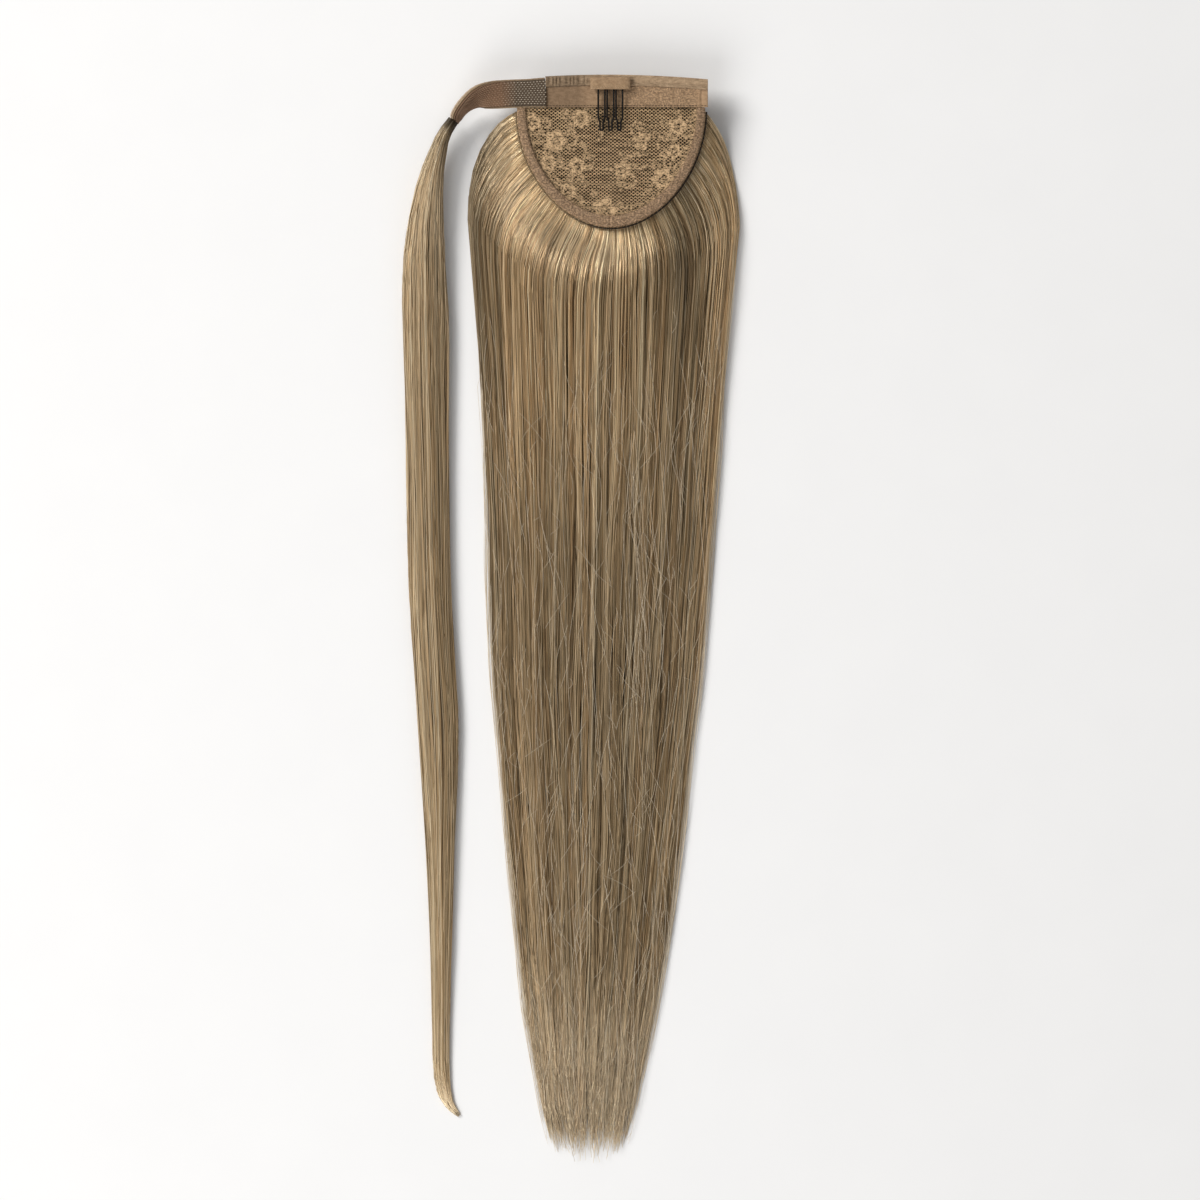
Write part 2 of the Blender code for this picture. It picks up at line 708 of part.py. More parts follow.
def hair_fall(parts, helpers):
    """The long fall: an inner mass with the locks that fan out from the rim fused to it."""
    locks = [fall_lock(number) for number in range(FALL_LOCKS)]
    return fused("hair_fall", fall_core(), locks, "ash_blonde_hair", parts, helpers)


def wrap_strand(number, strand):
    """One strand of the wrap lock, as a loft of flattened rings."""
    last = len(WRAP_LOCK) - 1
    places = np.linspace(strand.first, last - strand.shorter, WRAP_STEPS)
    rings = []
    for row, forward in stations(WRAP_LOCK, places):
        side = Vector((-forward.y, forward.x, 0))
        share = (places[-1] - places[len(rings)]) / WRAP_TAPER
        taper = WRAP_TIP + (1 - WRAP_TIP) * ease(share) if strand.shorter else 1.0
        half_wide = row.half_width * WRAP_STRAND_SHARE
        reach = (row.half_width - half_wide) * strand.across
        half_thick = (row.top - row.bottom) / 2 * strand.height
        centre = Vector((row.x, row.y, max(0.0, row.bottom) + half_thick)) + side * reach
        rings.append(
            [
                centre
                + side * half_wide * taper * math.cos(angle)
                + Vector((0, 0, half_thick * taper * math.sin(angle)))
                for angle in np.linspace(0, 2 * math.pi, LOCK_SIDES + 1)[:-1] + 0.1 * number
            ]
        )
    return loft(f"wrap_strand_{number}", rings)


def wrap_lock(parts, helpers):
    """The thin lock on the strap's end, of strands fused side by side."""
    first, *others = [wrap_strand(number, strand) for number, strand in enumerate(WRAP_STRANDS)]
    return fused("wrap_lock", first, others, "ash_blonde_hair", parts, helpers)


def main():
    """Every piece of the hairpiece, from the cap outwards."""
    parts, helpers = fresh_collections()
    lace_panel(parts)
    rim_binding(parts)
    weft_track(parts)
    band_and_casing(parts)
    comb_tab(parts, helpers)
    wire_comb(parts)
    strap(parts)
    hair_fall(parts, helpers)
    wrap_lock(parts, helpers)


main()
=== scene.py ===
"""The looks of the wrap-round ponytail hairpiece: its hair, lace, tapes, stitches, hooks and comb.

The cap lies with its inner side up, and hair fans out from under its rim and falls towards -Y. A strap
with hook tape leaves the cap's left corner and ends in a thin lock. Lengths are in millimetres until a
mesh is made.
"""

import math

import bpy
import numpy as np
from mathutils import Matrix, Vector


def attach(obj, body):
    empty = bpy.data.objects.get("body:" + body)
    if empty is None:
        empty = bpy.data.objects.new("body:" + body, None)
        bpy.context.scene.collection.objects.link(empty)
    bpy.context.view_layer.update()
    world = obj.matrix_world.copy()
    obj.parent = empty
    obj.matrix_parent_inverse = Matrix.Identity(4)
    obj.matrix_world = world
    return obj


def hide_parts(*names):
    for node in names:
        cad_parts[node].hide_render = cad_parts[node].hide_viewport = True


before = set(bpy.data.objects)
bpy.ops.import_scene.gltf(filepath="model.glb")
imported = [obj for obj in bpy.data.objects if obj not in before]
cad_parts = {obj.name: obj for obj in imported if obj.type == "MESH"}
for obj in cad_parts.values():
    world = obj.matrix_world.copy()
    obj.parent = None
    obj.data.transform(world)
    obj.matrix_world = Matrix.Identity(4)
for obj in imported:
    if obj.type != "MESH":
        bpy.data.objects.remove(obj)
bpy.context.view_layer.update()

MM = 0.001
FULL_TURN = 6.2832

# Cap
CAP_MIDDLE_X = 21.5
CAP_HALF_WIDTH = 51.7
CAP_SHOULDER_Y = 278.3
CAP_DEPTH = 63.8
CAP_ROUNDNESS = 1.9
CAP_TOP_Y = 298.0
CAP_TOP_ARCH = 2.6
CAP_TOP_ARCH_X = 19.0
CAP_TOP_ARCH_RUN = 56.0
LACE_LEVEL = 19.0
LACE_INSET = 1.85
LACE_SAG = 1.2
LACE_THICK = 0.45
BINDING_HALF_HEIGHT = 1.25
BINDING_THICK = 0.7
BINDING_SIDE_WIDTH = 4.2
BINDING_FRONT_WIDTH = 5.8
BINDING_UNDER_WIDTH = 3.2
BINDING_TAPE_WIDTH = 10.5
WEFT_OFF_RIM = 0.7
WEFT_LEVEL = 18.1
WEFT_PLY = 0.27
WEFT_STATIONS = 520
BAND_LEFT = -14.5
BAND_RIGHT = 74.6
BAND_BOTTOM_Y = 280.4
BAND_LEVEL = 20.3
BAND_THICK = 0.7
BAND_TAPE_WIDTH = 11.8
BAND_FOLD_X = 69.9
CASING_HEIGHT = 5.6
CASING_TOP = 21.75
CASING_THICK = 0.5
CASING_TAPE_WIDTH = 11.2
CASING_FULLNESS = 1.08
CASING_GATHERED_TO_X = 12
TAB_MIDDLE_X = 21.1
TAB_WIDTH = 21.5
TAB_HEIGHT = 7.2
TAB_BOTTOM_Y = 289.6
TAB_MIDDLE_LEVEL = 23.85
TAB_HALF_GAP = 1.35
TAB_THICK = 0.75
TAB_TAPE_LENGTH = 15.5

# How high the seams lie
BAND_SEAM_LEVEL = 20.8
CASING_SEAM_LEVEL = 20.85
TAB_SEAM_LEVEL = 25.62
RIM_SEAM_LEVEL = 20.72
RIM_STITCHES = 118
TAB_STITCHES = 13

# Comb of one bent wire
WIRE = 0.9
LACQUER = 0.08
TEETH = 3
TOOTH_PITCH = 4.85
TOOTH_HALF_WIDTH = 1.8
TOOTH_TIP_HALF_WIDTH = 0.85
TOOTH_REACH = 22.3
TOOTH_NECK_START = 14.5
TOOTH_NECK_END = 17.8
COMB_SEAT = 4.2
COMB_DROP = 3.5
COMB_LEVEL = 23.85

# Strap: middle line, width and roll of its tape, and the hook tape on its face
STRAP = np.array([
    (-15.1, 288.4, 20.4, 15.0, 0),
    (-25.4, 288.0, 20.4, 15.0, 0),
    (-35.8, 287.6, 20.4, 15.0, 0),
    (-46.2, 286.9, 20.1, 14.8, 22),
    (-51.9, 285.8, 19.4, 14.4, 44),
    (-56.8, 283.2, 18.0, 13.8, 60),
    (-60.9, 279.6, 16.4, 12.8, 68),
    (-63.6, 275.6, 14.8, 11.8, 71),
    (-65.4, 271.3, 13.2, 11.0, 74),
])
HOOK_TAPE_LIFT = 1.25
HOOK_TAPE_SHARE = 0.92
STRAP_SHEET_ROWS = 24

# Hair fall: y, left and right edge seen from above, and height, from the tips up to under the band
FALL = np.array([
    (-300.0, -8.8, 27.5, 3.5),
    (-276.1, -15.5, 33.0, 5.0),
    (-243.1, -21.4, 40.2, 6.5),
    (-210.1, -26.7, 46.6, 7.5),
    (-166.1, -30.8, 54.2, 8.5),
    (-122.1, -35.7, 60.3, 9.5),
    (-78.1, -39.6, 64.9, 10.5),
    (-34.1, -43.4, 70.4, 11.5),
    (9.9, -45.5, 74.3, 12.5),
    (53.9, -46.2, 78.1, 13.5),
    (97.9, -48.4, 81.9, 15.0),
    (141.9, -51.5, 85.4, 17.0),
    (185.9, -54.4, 90.4, 19.0),
    (208.0, -57.3, 92.9, 19.0),
    (224.4, -57.8, 92.3, 18.5),
    (242.0, -56.1, 89.8, 18.0),
    (258.5, -51.7, 85.8, 17.0),
    (268.4, -47.3, 81.4, 16.5),
    (278.3, -38.0, 75.5, 16.0),
    (290.0, -26.0, 69.0, 13.0),
    (294.0, -18.0, 62.0, 8.0),
])
FALL_CROWN = 2.6
FALL_CROWDING = 1.8
FALL_TIP_Y = -304.0
SHOULDER_SETTLED_Y = 258.0
FALL_STRANDS = 5500
FALL_CLUMPS = 66
FALL_SUB_CLUMPS = 330
FALL_LOCKS = 15
FALL_HALF_WIDTHS = (0.115, 0.215)
ROOT_TUCK = 6.5
BEND_DROP = 40
BEND_DROP_SIDE = 14
PARTINGS = 20

# How far above the longest tips the strands end: at random, by lock, by clump, and at a lock's sides
CUT_SPREAD = 50
CUT_BY_LOCK = 10
CUT_BY_CLUMP = 4
CUT_AT_LOCK_SIDES = 14
LONGEST_SHARE = 0.07
LONGEST_CUT = (3, 17)

# Other hair of the fall: its upper end under the cap, and single hairs
TUCKED_STRANDS = 760
TUCKED_HALF_WIDTH = 0.3
LOOSE_HALF_WIDTH = 0.075
WISPS = 210
WISP_HALF_WIDTH = 0.1

# Wrap lock: x, y, half width, underside and top, from the strap's end down to its tip
LOCK = np.array([
    (-66.7, 271.35, 2.9, 7.8, 18.6),
    (-69.8, 266.8, 3.5, 7.2, 18.6),
    (-71.8, 262.4, 4.0, 6.6, 18.2),
    (-73.4, 257.4, 4.6, 6.0, 17.6),
    (-75.4, 250.8, 5.5, 5.2, 17.0),
    (-77.6, 240.9, 6.9, 4.0, 16.0),
    (-79.0, 231.0, 8.2, 3.0, 15.0),
    (-80.2, 217.8, 9.7, 1.6, 13.5),
    (-81.0, 202.4, 11.3, 0.4, 12.0),
    (-80.9, 180.4, 12.5, 0.0, 10.8),
    (-80.3, 152.9, 12.6, 0.0, 10.0),
    (-79.8, 119.9, 11.9, 0.0, 9.2),
    (-79.5, 64.9, 11.6, 0.0, 8.6),
    (-78.1, 9.9, 11.4, 0.0, 8.1),
    (-74.4, -45.1, 11.3, 0.0, 7.6),
    (-73.1, -78.1, 10.4, 0.0, 7.2),
    (-72.8, -111.1, 8.6, 0.0, 6.7),
    (-72.5, -144.1, 7.0, 0.0, 6.2),
    (-72.2, -177.1, 6.0, 0.0, 5.7),
    (-72.3, -210.1, 5.2, 0.0, 4.9),
    (-72.3, -237.6, 4.7, 0.0, 4.0),
    (-71.6, -256.9, 3.8, 0.0, 3.2),
    (-67.6, -267.9, 2.4, 0.0, 2.6),
    (-61.9, -274.4, 0.9, 0.0, 1.7),
])
LOCK_STRANDS = 900
LOCK_CLUMPS = 14
LOCK_HALF_WIDTHS = (0.13, 0.24)

# The hair's tones, dark, middle and light: a warm family, a plain one and a cool one
HAIR_FAMILIES = (
    ((0.13, 0.078, 0.034), (0.41, 0.272, 0.137), (0.82, 0.63, 0.39)),
    ((0.12, 0.080, 0.038), (0.41, 0.286, 0.153), (0.84, 0.675, 0.44)),
    ((0.12, 0.085, 0.044), (0.40, 0.292, 0.165), (0.84, 0.705, 0.49)),
)

# A hair strand's cross-section: across it and up, for half its width
STRAND_SECTION = np.array([(-1.0, -0.35), (1.0, -0.35), (0.0, 0.6)])

# View: the photograph's middle, its width at the hairpiece's level, and the camera's height
VIEW_MIDDLE = (15.4, 9.9)
VIEW_WIDTH = 660.0
VIEW_HEIGHT = 5000.0
VIEW_LEVEL = 10.0


class Socket:
    """One output of a material's node. Arithmetic on it adds Math nodes to that material."""

    def __init__(self, tree, output):
        self.tree = tree
        self.output = output

    def math(self, operation, *values):
        node = self.tree.nodes.new("ShaderNodeMath")
        node.operation = operation
        for place, value in zip(node.inputs, values):
            plug(self.tree, place, value)
        return Socket(self.tree, node.outputs[0])

    def __add__(self, other):
        return self.math("ADD", self, other)

    def __radd__(self, other):
        return self.math("ADD", other, self)

    def __sub__(self, other):
        return self.math("SUBTRACT", self, other)

    def __rsub__(self, other):
        return self.math("SUBTRACT", other, self)

    def __mul__(self, other):
        return self.math("MULTIPLY", self, other)

    def __rmul__(self, other):
        return self.math("MULTIPLY", other, self)

    def __truediv__(self, other):
        return self.math("DIVIDE", self, other)

    def sine(self):
        return self.math("SINE", self)

    def fraction(self):
        return self.math("FRACT", self)

    def size(self):
        return self.math("ABSOLUTE", self)

    def above(self, edge):
        return self.math("GREATER_THAN", self, edge)

    def larger(self, other):
        return self.math("MAXIMUM", self, other)

    def smaller(self, other):
        return self.math("MINIMUM", self, other)

    def clipped(self):
        return self.larger(0.0).smaller(1.0)

    def rise(self, start, end):
        """0 at start, 1 at end and level beyond them. The end may be the lower of the two."""
        return ((self - start) / (end - start)).clipped()


def plug(tree, place, value):
    """Links a socket to a node's input, or sets the input to a plain value."""
    if isinstance(value, Socket):
        tree.links.new(value.output, place)
    else:
        place.default_value = value


class Finish:
    """A procedural material round one Principled shader."""

    def __init__(self, name, **constants):
        self.material = bpy.data.materials.new(name)
        self.material.use_nodes = True
        self.tree = self.material.node_tree
        self.shader = self.tree.nodes["Principled BSDF"]
        for socket, value in constants.items():
            self.shader.inputs[socket.replace("_", " ")].default_value = value

    def node(self, kind, settings=None, sockets=None, output=0):
        """A new node: its settings or its ramp's stops first, then its sockets' values or links."""
        made = self.tree.nodes.new("ShaderNode" + kind)
        for key, value in (settings or {}).items():
            if key == "stops":
                fill_ramp(made.color_ramp, value)
            else:
                setattr(made, key, value)
        for key, value in (sockets or {}).items():
            plug(self.tree, made.inputs[key], value)
        return Socket(self.tree, made.outputs[output])

    def parts_of(self, vector):
        """The X, Y and Z of a vector."""
        made = self.tree.nodes.new("ShaderNodeSeparateXYZ")
        plug(self.tree, made.inputs[0], vector)
        return [Socket(self.tree, output) for output in made.outputs]

    def vector(self, x, y, z=0.0):
        return self.node("CombineXYZ", sockets={"X": x, "Y": y, "Z": z})

    def place_mm(self):
        """Object coordinates in millimetres."""
        return [part * 1000.0 for part in self.parts_of(self.node("TexCoord", output=3))]

    def cloth_mm(self):
        """Millimetres along and across the cloth, from its own map."""
        return self.parts_of(self.node("UVMap", {"uv_map": "cloth_mm"}))[:2]

    def noise(self, vector, scale, detail=3.0, roughness=0.55):
        return self.node(
            "TexNoise",
            sockets={"Vector": vector, "Scale": scale, "Detail": detail, "Roughness": roughness},
        )

    def blend(self, share, first, second):
        """One colour turning into another."""
        made = self.tree.nodes.new("ShaderNodeMix")
        made.data_type = "RGBA"
        plug(self.tree, made.inputs[0], share)
        plug(self.tree, made.inputs[6], first)
        plug(self.tree, made.inputs[7], second)
        return Socket(self.tree, made.outputs[2])

    def ramp(self, share, *stops):
        return self.node("ValToRGB", {"stops": stops}, {"Fac": share})

    def dim(self, colour, share):
        """A colour times a number."""
        return self.node("VectorMath", {"operation": "SCALE"}, {0: colour, "Scale": share})

    def bump(self, height, distance_mm, strength=1.0):
        return self.node(
            "Bump", sockets={"Height": height, "Distance": distance_mm * MM, "Strength": strength}
        )

    def set(self, **sockets):
        for socket, value in sockets.items():
            plug(self.tree, self.shader.inputs[socket.replace("_", " ")], value)
        return self.material


def fill_ramp(ramp, stops):
    """Puts (place, colour) stops in a colour ramp."""
    while len(ramp.elements) < len(stops):
        ramp.elements.new(0.5)
    for element, (place, colour) in zip(ramp.elements, stops):
        element.position = place
        element.color = (*colour, 1.0)


def colour(red, green, blue):
    return (red, green, blue, 1.0)


def ease(t):
    """0 to 1 with level ends."""
    t = np.clip(t, 0, 1)
    return t * t * (3 - 2 * t)


def joined(*parts):
    """Points or directions from their coordinates, where a single number holds for all of them."""
    return np.stack(np.broadcast_arrays(*parts), axis=-1)


def read_curve(keys, values, at):
    """A smooth curve through values at rising keys, read at many keys."""
    slopes = np.gradient(values, keys)
    i = np.clip(np.searchsorted(keys, at) - 1, 0, len(keys) - 2)
    step = keys[i + 1] - keys[i]
    t = np.clip((at - keys[i]) / step, 0, 1)
    return (
        values[i] * (1 + 2 * t) * (1 - t) ** 2
        + values[i + 1] * t * t * (3 - 2 * t)
        + step * t * (1 - t) * (slopes[i] * (1 - t) - slopes[i + 1] * t)
    )


def read_table(table, at):
    """Every column of a table, read smoothly between its rows: at 2.5 it is half-way from row 2 to row 3."""
    rows = np.arange(len(table), dtype=float)
    return [read_curve(rows, column, at) for column in table.T]


def plan_heading(table, before, after):
    """The direction, seen from above, from one place on a table's middle line to another."""
    first, second = read_table(table, before), read_table(table, after)
    forward = joined(second[0] - first[0], second[1] - first[1])
    return forward / np.linalg.norm(forward, axis=-1, keepdims=True)


def fall_read(column, y):
    """One column of the fall's table at each y: 1 is the left edge, 2 the right edge and 3 the height."""
    return read_curve(FALL[:, 0], FALL[:, column], y)


def fall_x(share, y):
    """The plan line that hair at that share of the fall's width follows."""
    left, right = fall_read(1, y), fall_read(2, y)
    return left + (right - left) * (share + 1) / 2


def fall_top(share, y):
    """The height of the fall's upper surface."""
    return fall_read(3, y) * (1 - np.clip(np.abs(share), 0, 0.995) ** FALL_CROWN) ** 0.5


def straight_edge(x):
    """The cap's slightly arched straight edge."""
    return CAP_TOP_Y - CAP_TOP_ARCH * ((x - CAP_TOP_ARCH_X) / CAP_TOP_ARCH_RUN) ** 2


def rim(turn, inset=0.0):
    """Points of the half-moon rim and the outward direction there, for turns of -1 (left) to 1 (right).

    Past either end the rim runs straight up to the band.
    """
    turn = np.asarray(turn)
    beyond = np.clip(np.abs(turn) - 1, 0, None) * 80
    angle = np.clip(turn, -1, 1) * np.pi / 2
    power = 2 / CAP_ROUNDNESS
    across = np.sign(angle) * np.abs(np.sin(angle)) ** power
    down = np.clip(np.cos(angle), 0, None) ** power
    outward = joined(
        np.sign(across) * np.abs(across) ** (CAP_ROUNDNESS - 1) / CAP_HALF_WIDTH,
        -(down ** (CAP_ROUNDNESS - 1)) / CAP_DEPTH,
    )
    outward /= np.linalg.norm(outward, axis=-1, keepdims=True)
    edge = joined(CAP_MIDDLE_X + CAP_HALF_WIDTH * across, CAP_SHOULDER_Y - CAP_DEPTH * down + beyond)
    return edge - outward * np.asarray(inset)[..., None], outward


def own(thing, slot, *nodes):
    """A finished piece: it rides on the hairpiece and stands for its CAD nodes. slot is not used."""
    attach(thing, "root")
    if nodes:
        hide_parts(*nodes)
    return thing


def mesh_object(name, points, face_sets, material, maps=None):
    """A smooth mesh object from points in millimetres, sets of faces, and a named map of its points."""
    corners = np.concatenate([faces.ravel() for faces in face_sets])
    lengths = np.concatenate([np.full(len(faces), faces.shape[1]) for faces in face_sets])
    mesh = bpy.data.meshes.new(name)
    mesh.vertices.add(len(points))
    mesh.vertices.foreach_set("co", (points * MM).ravel())
    mesh.loops.add(len(corners))
    mesh.loops.foreach_set("vertex_index", corners.astype(np.int32))
    mesh.polygons.add(len(lengths))
    starts = np.concatenate([[0], np.cumsum(lengths)[:-1]])
    mesh.polygons.foreach_set("loop_start", starts.astype(np.int32))
    mesh.update(calc_edges=True)
    for map_name, places in (maps or {}).items():
        layer = mesh.uv_layers.new(name=map_name)
        layer.uv.foreach_set("vector", places[corners].ravel())
    mesh.shade_smooth()
    mesh.materials.append(material)
    thing = bpy.data.objects.new(name, mesh)
    bpy.context.scene.collection.objects.link(thing)
    return thing


def tubes(name, paths, half_widths, section, material, tones=None):
    """Many closed tubes in one mesh.

    paths is (tubes, stations, 3) and half_widths (tubes, stations). section has the points of the
    cross-section, anticlockwise seen along the path. With tones, each tube gets its own strip of the map.
    """
    count, stations, _ = paths.shape
    sides = len(section)
    forward = np.gradient(paths, axis=1)
    forward /= np.linalg.norm(forward, axis=-1, keepdims=True) + 1e-9
    side = np.cross(forward, (0.0, 0.0, 1.0))
    side /= np.linalg.norm(side, axis=-1, keepdims=True) + 1e-9
    normal = np.cross(side, forward)
    wide = half_widths[:, :, None, None]
    rings = (
        paths[:, :, None, :]
        + side[:, :, None, :] * section[:, 0][None, None, :, None] * wide
        + normal[:, :, None, :] * section[:, 1][None, None, :, None] * wide
    )
    index = np.arange(count * stations * sides).reshape(count, stations, sides)
    beside = np.roll(index, -1, axis=2)
    quads = np.stack(
        [index[:, :-1], index[:, 1:], beside[:, 1:], beside[:, :-1]], axis=-1
    ).reshape(-1, 4)
    caps = np.concatenate([index[:, 0], index[:, -1, ::-1]])
    maps = None
    if tones is not None:
        along = np.linspace(0, 1, stations)
        maps = np.zeros((count, stations, sides, 2))
        maps[..., 0] = tones[:, None, None] + np.arange(sides) * 0.2 / count
        maps[..., 1] = along[None, :, None]
        maps = {"OFBake": maps.reshape(-1, 2)}
    return mesh_object(name, rings.reshape(-1, 3), [quads, caps], material, maps)


def round_section(sides, tall=1.0):
    """A round or oval cross-section for tubes."""
    angles = np.linspace(0, 2 * np.pi, sides + 1)[:-1]
    return joined(np.cos(angles), np.sin(angles) * tall)


def skin(name, rings, material, slot, *nodes):
    """A closed piece lofted through rings of points, shaped (rings, points, 3)."""
    count, around, _ = rings.shape
    index = np.arange(count * around).reshape(count, around)
    beside = np.roll(index, -1, axis=1)
    quads = np.stack([index[:-1], beside[:-1], beside[1:], index[1:]], axis=-1).reshape(-1, 4)
    caps = np.stack([index[0, ::-1], index[-1]])
    thing = mesh_object(name, rings.reshape(-1, 3), [quads, caps], material)
    face_outwards(thing)
    return own(thing, slot, *nodes)


def face_outwards(thing):
    """Turns a closed piece's faces outwards."""
    pick(thing)
    bpy.ops.object.mode_set(mode="EDIT")
    bpy.ops.mesh.select_all(action="SELECT")
    bpy.ops.mesh.normals_make_consistent(inside=False)
    bpy.ops.object.mode_set(mode="OBJECT")


def pick(thing):
    """Selects one object and nothing else."""
    bpy.ops.object.select_all(action="DESELECT")
    thing.select_set(True)
    bpy.context.view_layer.objects.active = thing


def cloth(name, columns, rows, place, thickness, material, spread=None):
    """A sheet of cloth with a thickness, made with its faces up.

    place(across, along) takes values of 0 to 1 and gives x, y and z. The map cloth_mm holds the
    millimetres along and across the cloth.
    """
    across, along = np.meshgrid(
        np.linspace(0, 1, columns + 1), np.linspace(0, 1, rows + 1), indexing="ij"
    )
    points = joined(*place(across, along))
    index = np.arange(points.shape[0] * points.shape[1]).reshape(points.shape[:2])
    quads = np.stack(
        [index[:-1, :-1], index[1:, :-1], index[1:, 1:], index[:-1, 1:]], axis=-1
    ).reshape(-1, 4)
    run_x = np.linalg.norm(np.diff(points, axis=0), axis=-1).cumsum(axis=0)
    run_y = np.linalg.norm(np.diff(points, axis=1), axis=-1).cumsum(axis=1)
    lengths = joined(np.pad(run_x, ((1, 0), (0, 0))), np.pad(run_y, ((0, 0), (1, 0))))
    maps = {"cloth_mm": lengths.reshape(-1, 2)}
    thing = mesh_object(name, points.reshape(-1, 3), [quads], material, maps)
    if spread is not None:
        layer = thing.data.attributes.new(spread[0], "FLOAT", "POINT")
        layer.data.foreach_set("value", spread[1](points.reshape(-1, 3)).astype(np.float32))
    wall = thing.modifiers.new("cloth thickness", "SOLIDIFY")
    wall.thickness = thickness * MM
    wall.offset = 0
    wall.use_even_offset = True
    pick(thing)
    bpy.ops.object.modifier_apply(modifier=wall.name)
    return thing


def hair_finish(name, families):
    """Hair: warm, plain and cool families side by side in the map, each from dark to light.

    Its paler tips are part of the colour, and so are painted light and shade: a painted sheen where the hair
    bends out from under the rim, on the upper fall and on the right edge, and painted shade at the roots,
    on the right-hand hair near the cap and along the left edge.
    """
    made = Finish(name, Roughness=0.29, Metallic=0.5, Coat_Weight=0.12, Coat_Roughness=0.3)
    tone, along, _ = made.parts_of(made.node("UVMap", {"uv_map": "OFBake"}))
    stops = []
    for number, family in enumerate(families):
        for place, shade in zip((0.01, 0.5, 0.99), family):
            stops.append(((number + place) / len(families), shade))
    strand = made.ramp(tone, *stops)
    streak = made.noise(made.vector(tone * 900.0, along * 9.0), 1.0, 2.0)
    x, y, _ = made.place_mm()
    # Painted shade: the hair is darker at its roots, where it comes from under the cap, and the lock is
    # darker where it leaves the strap.
    root = (1.0 - along * 14.0).larger(0.0)
    shaded_lock_root = y.rise(240.0, 268.0) * x.rise(-60.0, -63.0)
    tip = ((along - 0.86) * 10.0).clipped()
    # Painted shade on the right-hand hair near the cap, which slopes away from the light.
    shaded_beside_cap = x.rise(42.0, 66.0) * y.rise(120.0, 180.0)
    # Painted light on the fall's right outer edge.
    lit_outer_edge = x.rise(64.0, 80.0)
    on_fall = x.rise(-64.0, -61.0)
    # Painted shade along the fall's left edge, where the hair turns down to the floor.
    shaded_left_edge = x.rise(-32.0, -50.0) * on_fall
    # Painted light: the upper fall, left of the middle and away from the left edge, is lighter.
    upper = y.rise(30.0, 120.0) * x.rise(58.0, 38.0) * on_fall * (1.0 - shaded_left_edge)
    # Painted highlight where the hair bends out from under the rim, strongest left of the middle.
    bend = (1.0 - ((along - 0.3) * 5.0).size()).larger(0.0) * x.rise(48.0, 14.0)
    bend = bend * (1.0 - shaded_left_edge * 0.8)
    shade = 0.76 + streak * 0.56 + upper * 0.42 + bend * 0.28 + tip * 0.55 + lit_outer_edge * 0.5
    shade = shade - root * 0.4 - shaded_lock_root * 0.5 - shaded_beside_cap * (1.0 - lit_outer_edge) * 0.34 - shaded_left_edge * 0.3
    # The painted highlight and the paler tips are blended towards cream.
    sheen_and_pale_tips = made.blend(bend * 0.25 + tip * 0.5, made.dim(strand, shade), colour(0.88, 0.77, 0.58))
    return made.set(Base_Color=sheen_and_pale_tips)


def loose_hair_finish():
    """Single pale hairs that catch the light."""
    made = Finish("pale_loose_hair", Roughness=0.4, Metallic=0.2)
    tone, along, _ = made.parts_of(made.node("UVMap", {"uv_map": "OFBake"}))
    streak = made.noise(made.vector(tone * 500.0, along * 4.0), 1.0, 2.0)
    return made.set(Base_Color=made.ramp(streak, (0.3, (0.6, 0.46, 0.29)), (0.7, (0.95, 0.86, 0.7))))


def tone_place(tone, family):
    """Where in the hair's map a strand of that tone, dark 0 to light 1, and that family lies."""
    return (family + np.clip(tone, 0.03, 0.95)) / 3


def mass_finish():
    """The inside of the hair, seen between the strands.

    Its colour is painted shade: darker than the strands, most of all under the cap.
    """
    made = Finish("packed_hair", Roughness=0.6, Specular_IOR_Level=0.25)
    x, y, z = made.place_mm()
    fine = made.noise(made.vector(x * 2.2, y * 0.02, z * 2.2), 1.0, 4.0, 0.65)
    tint = made.ramp(fine, (0.3, (0.07, 0.046, 0.024)), (0.7, (0.2, 0.14, 0.078)))
    # Painted shade, deepest under the cap.
    shaded_under_cap = y.rise(205.0, 235.0)
    return made.set(Base_Color=made.dim(tint, 1.0 - shaded_under_cap * 0.72), Normal=made.bump(fine, 0.6))


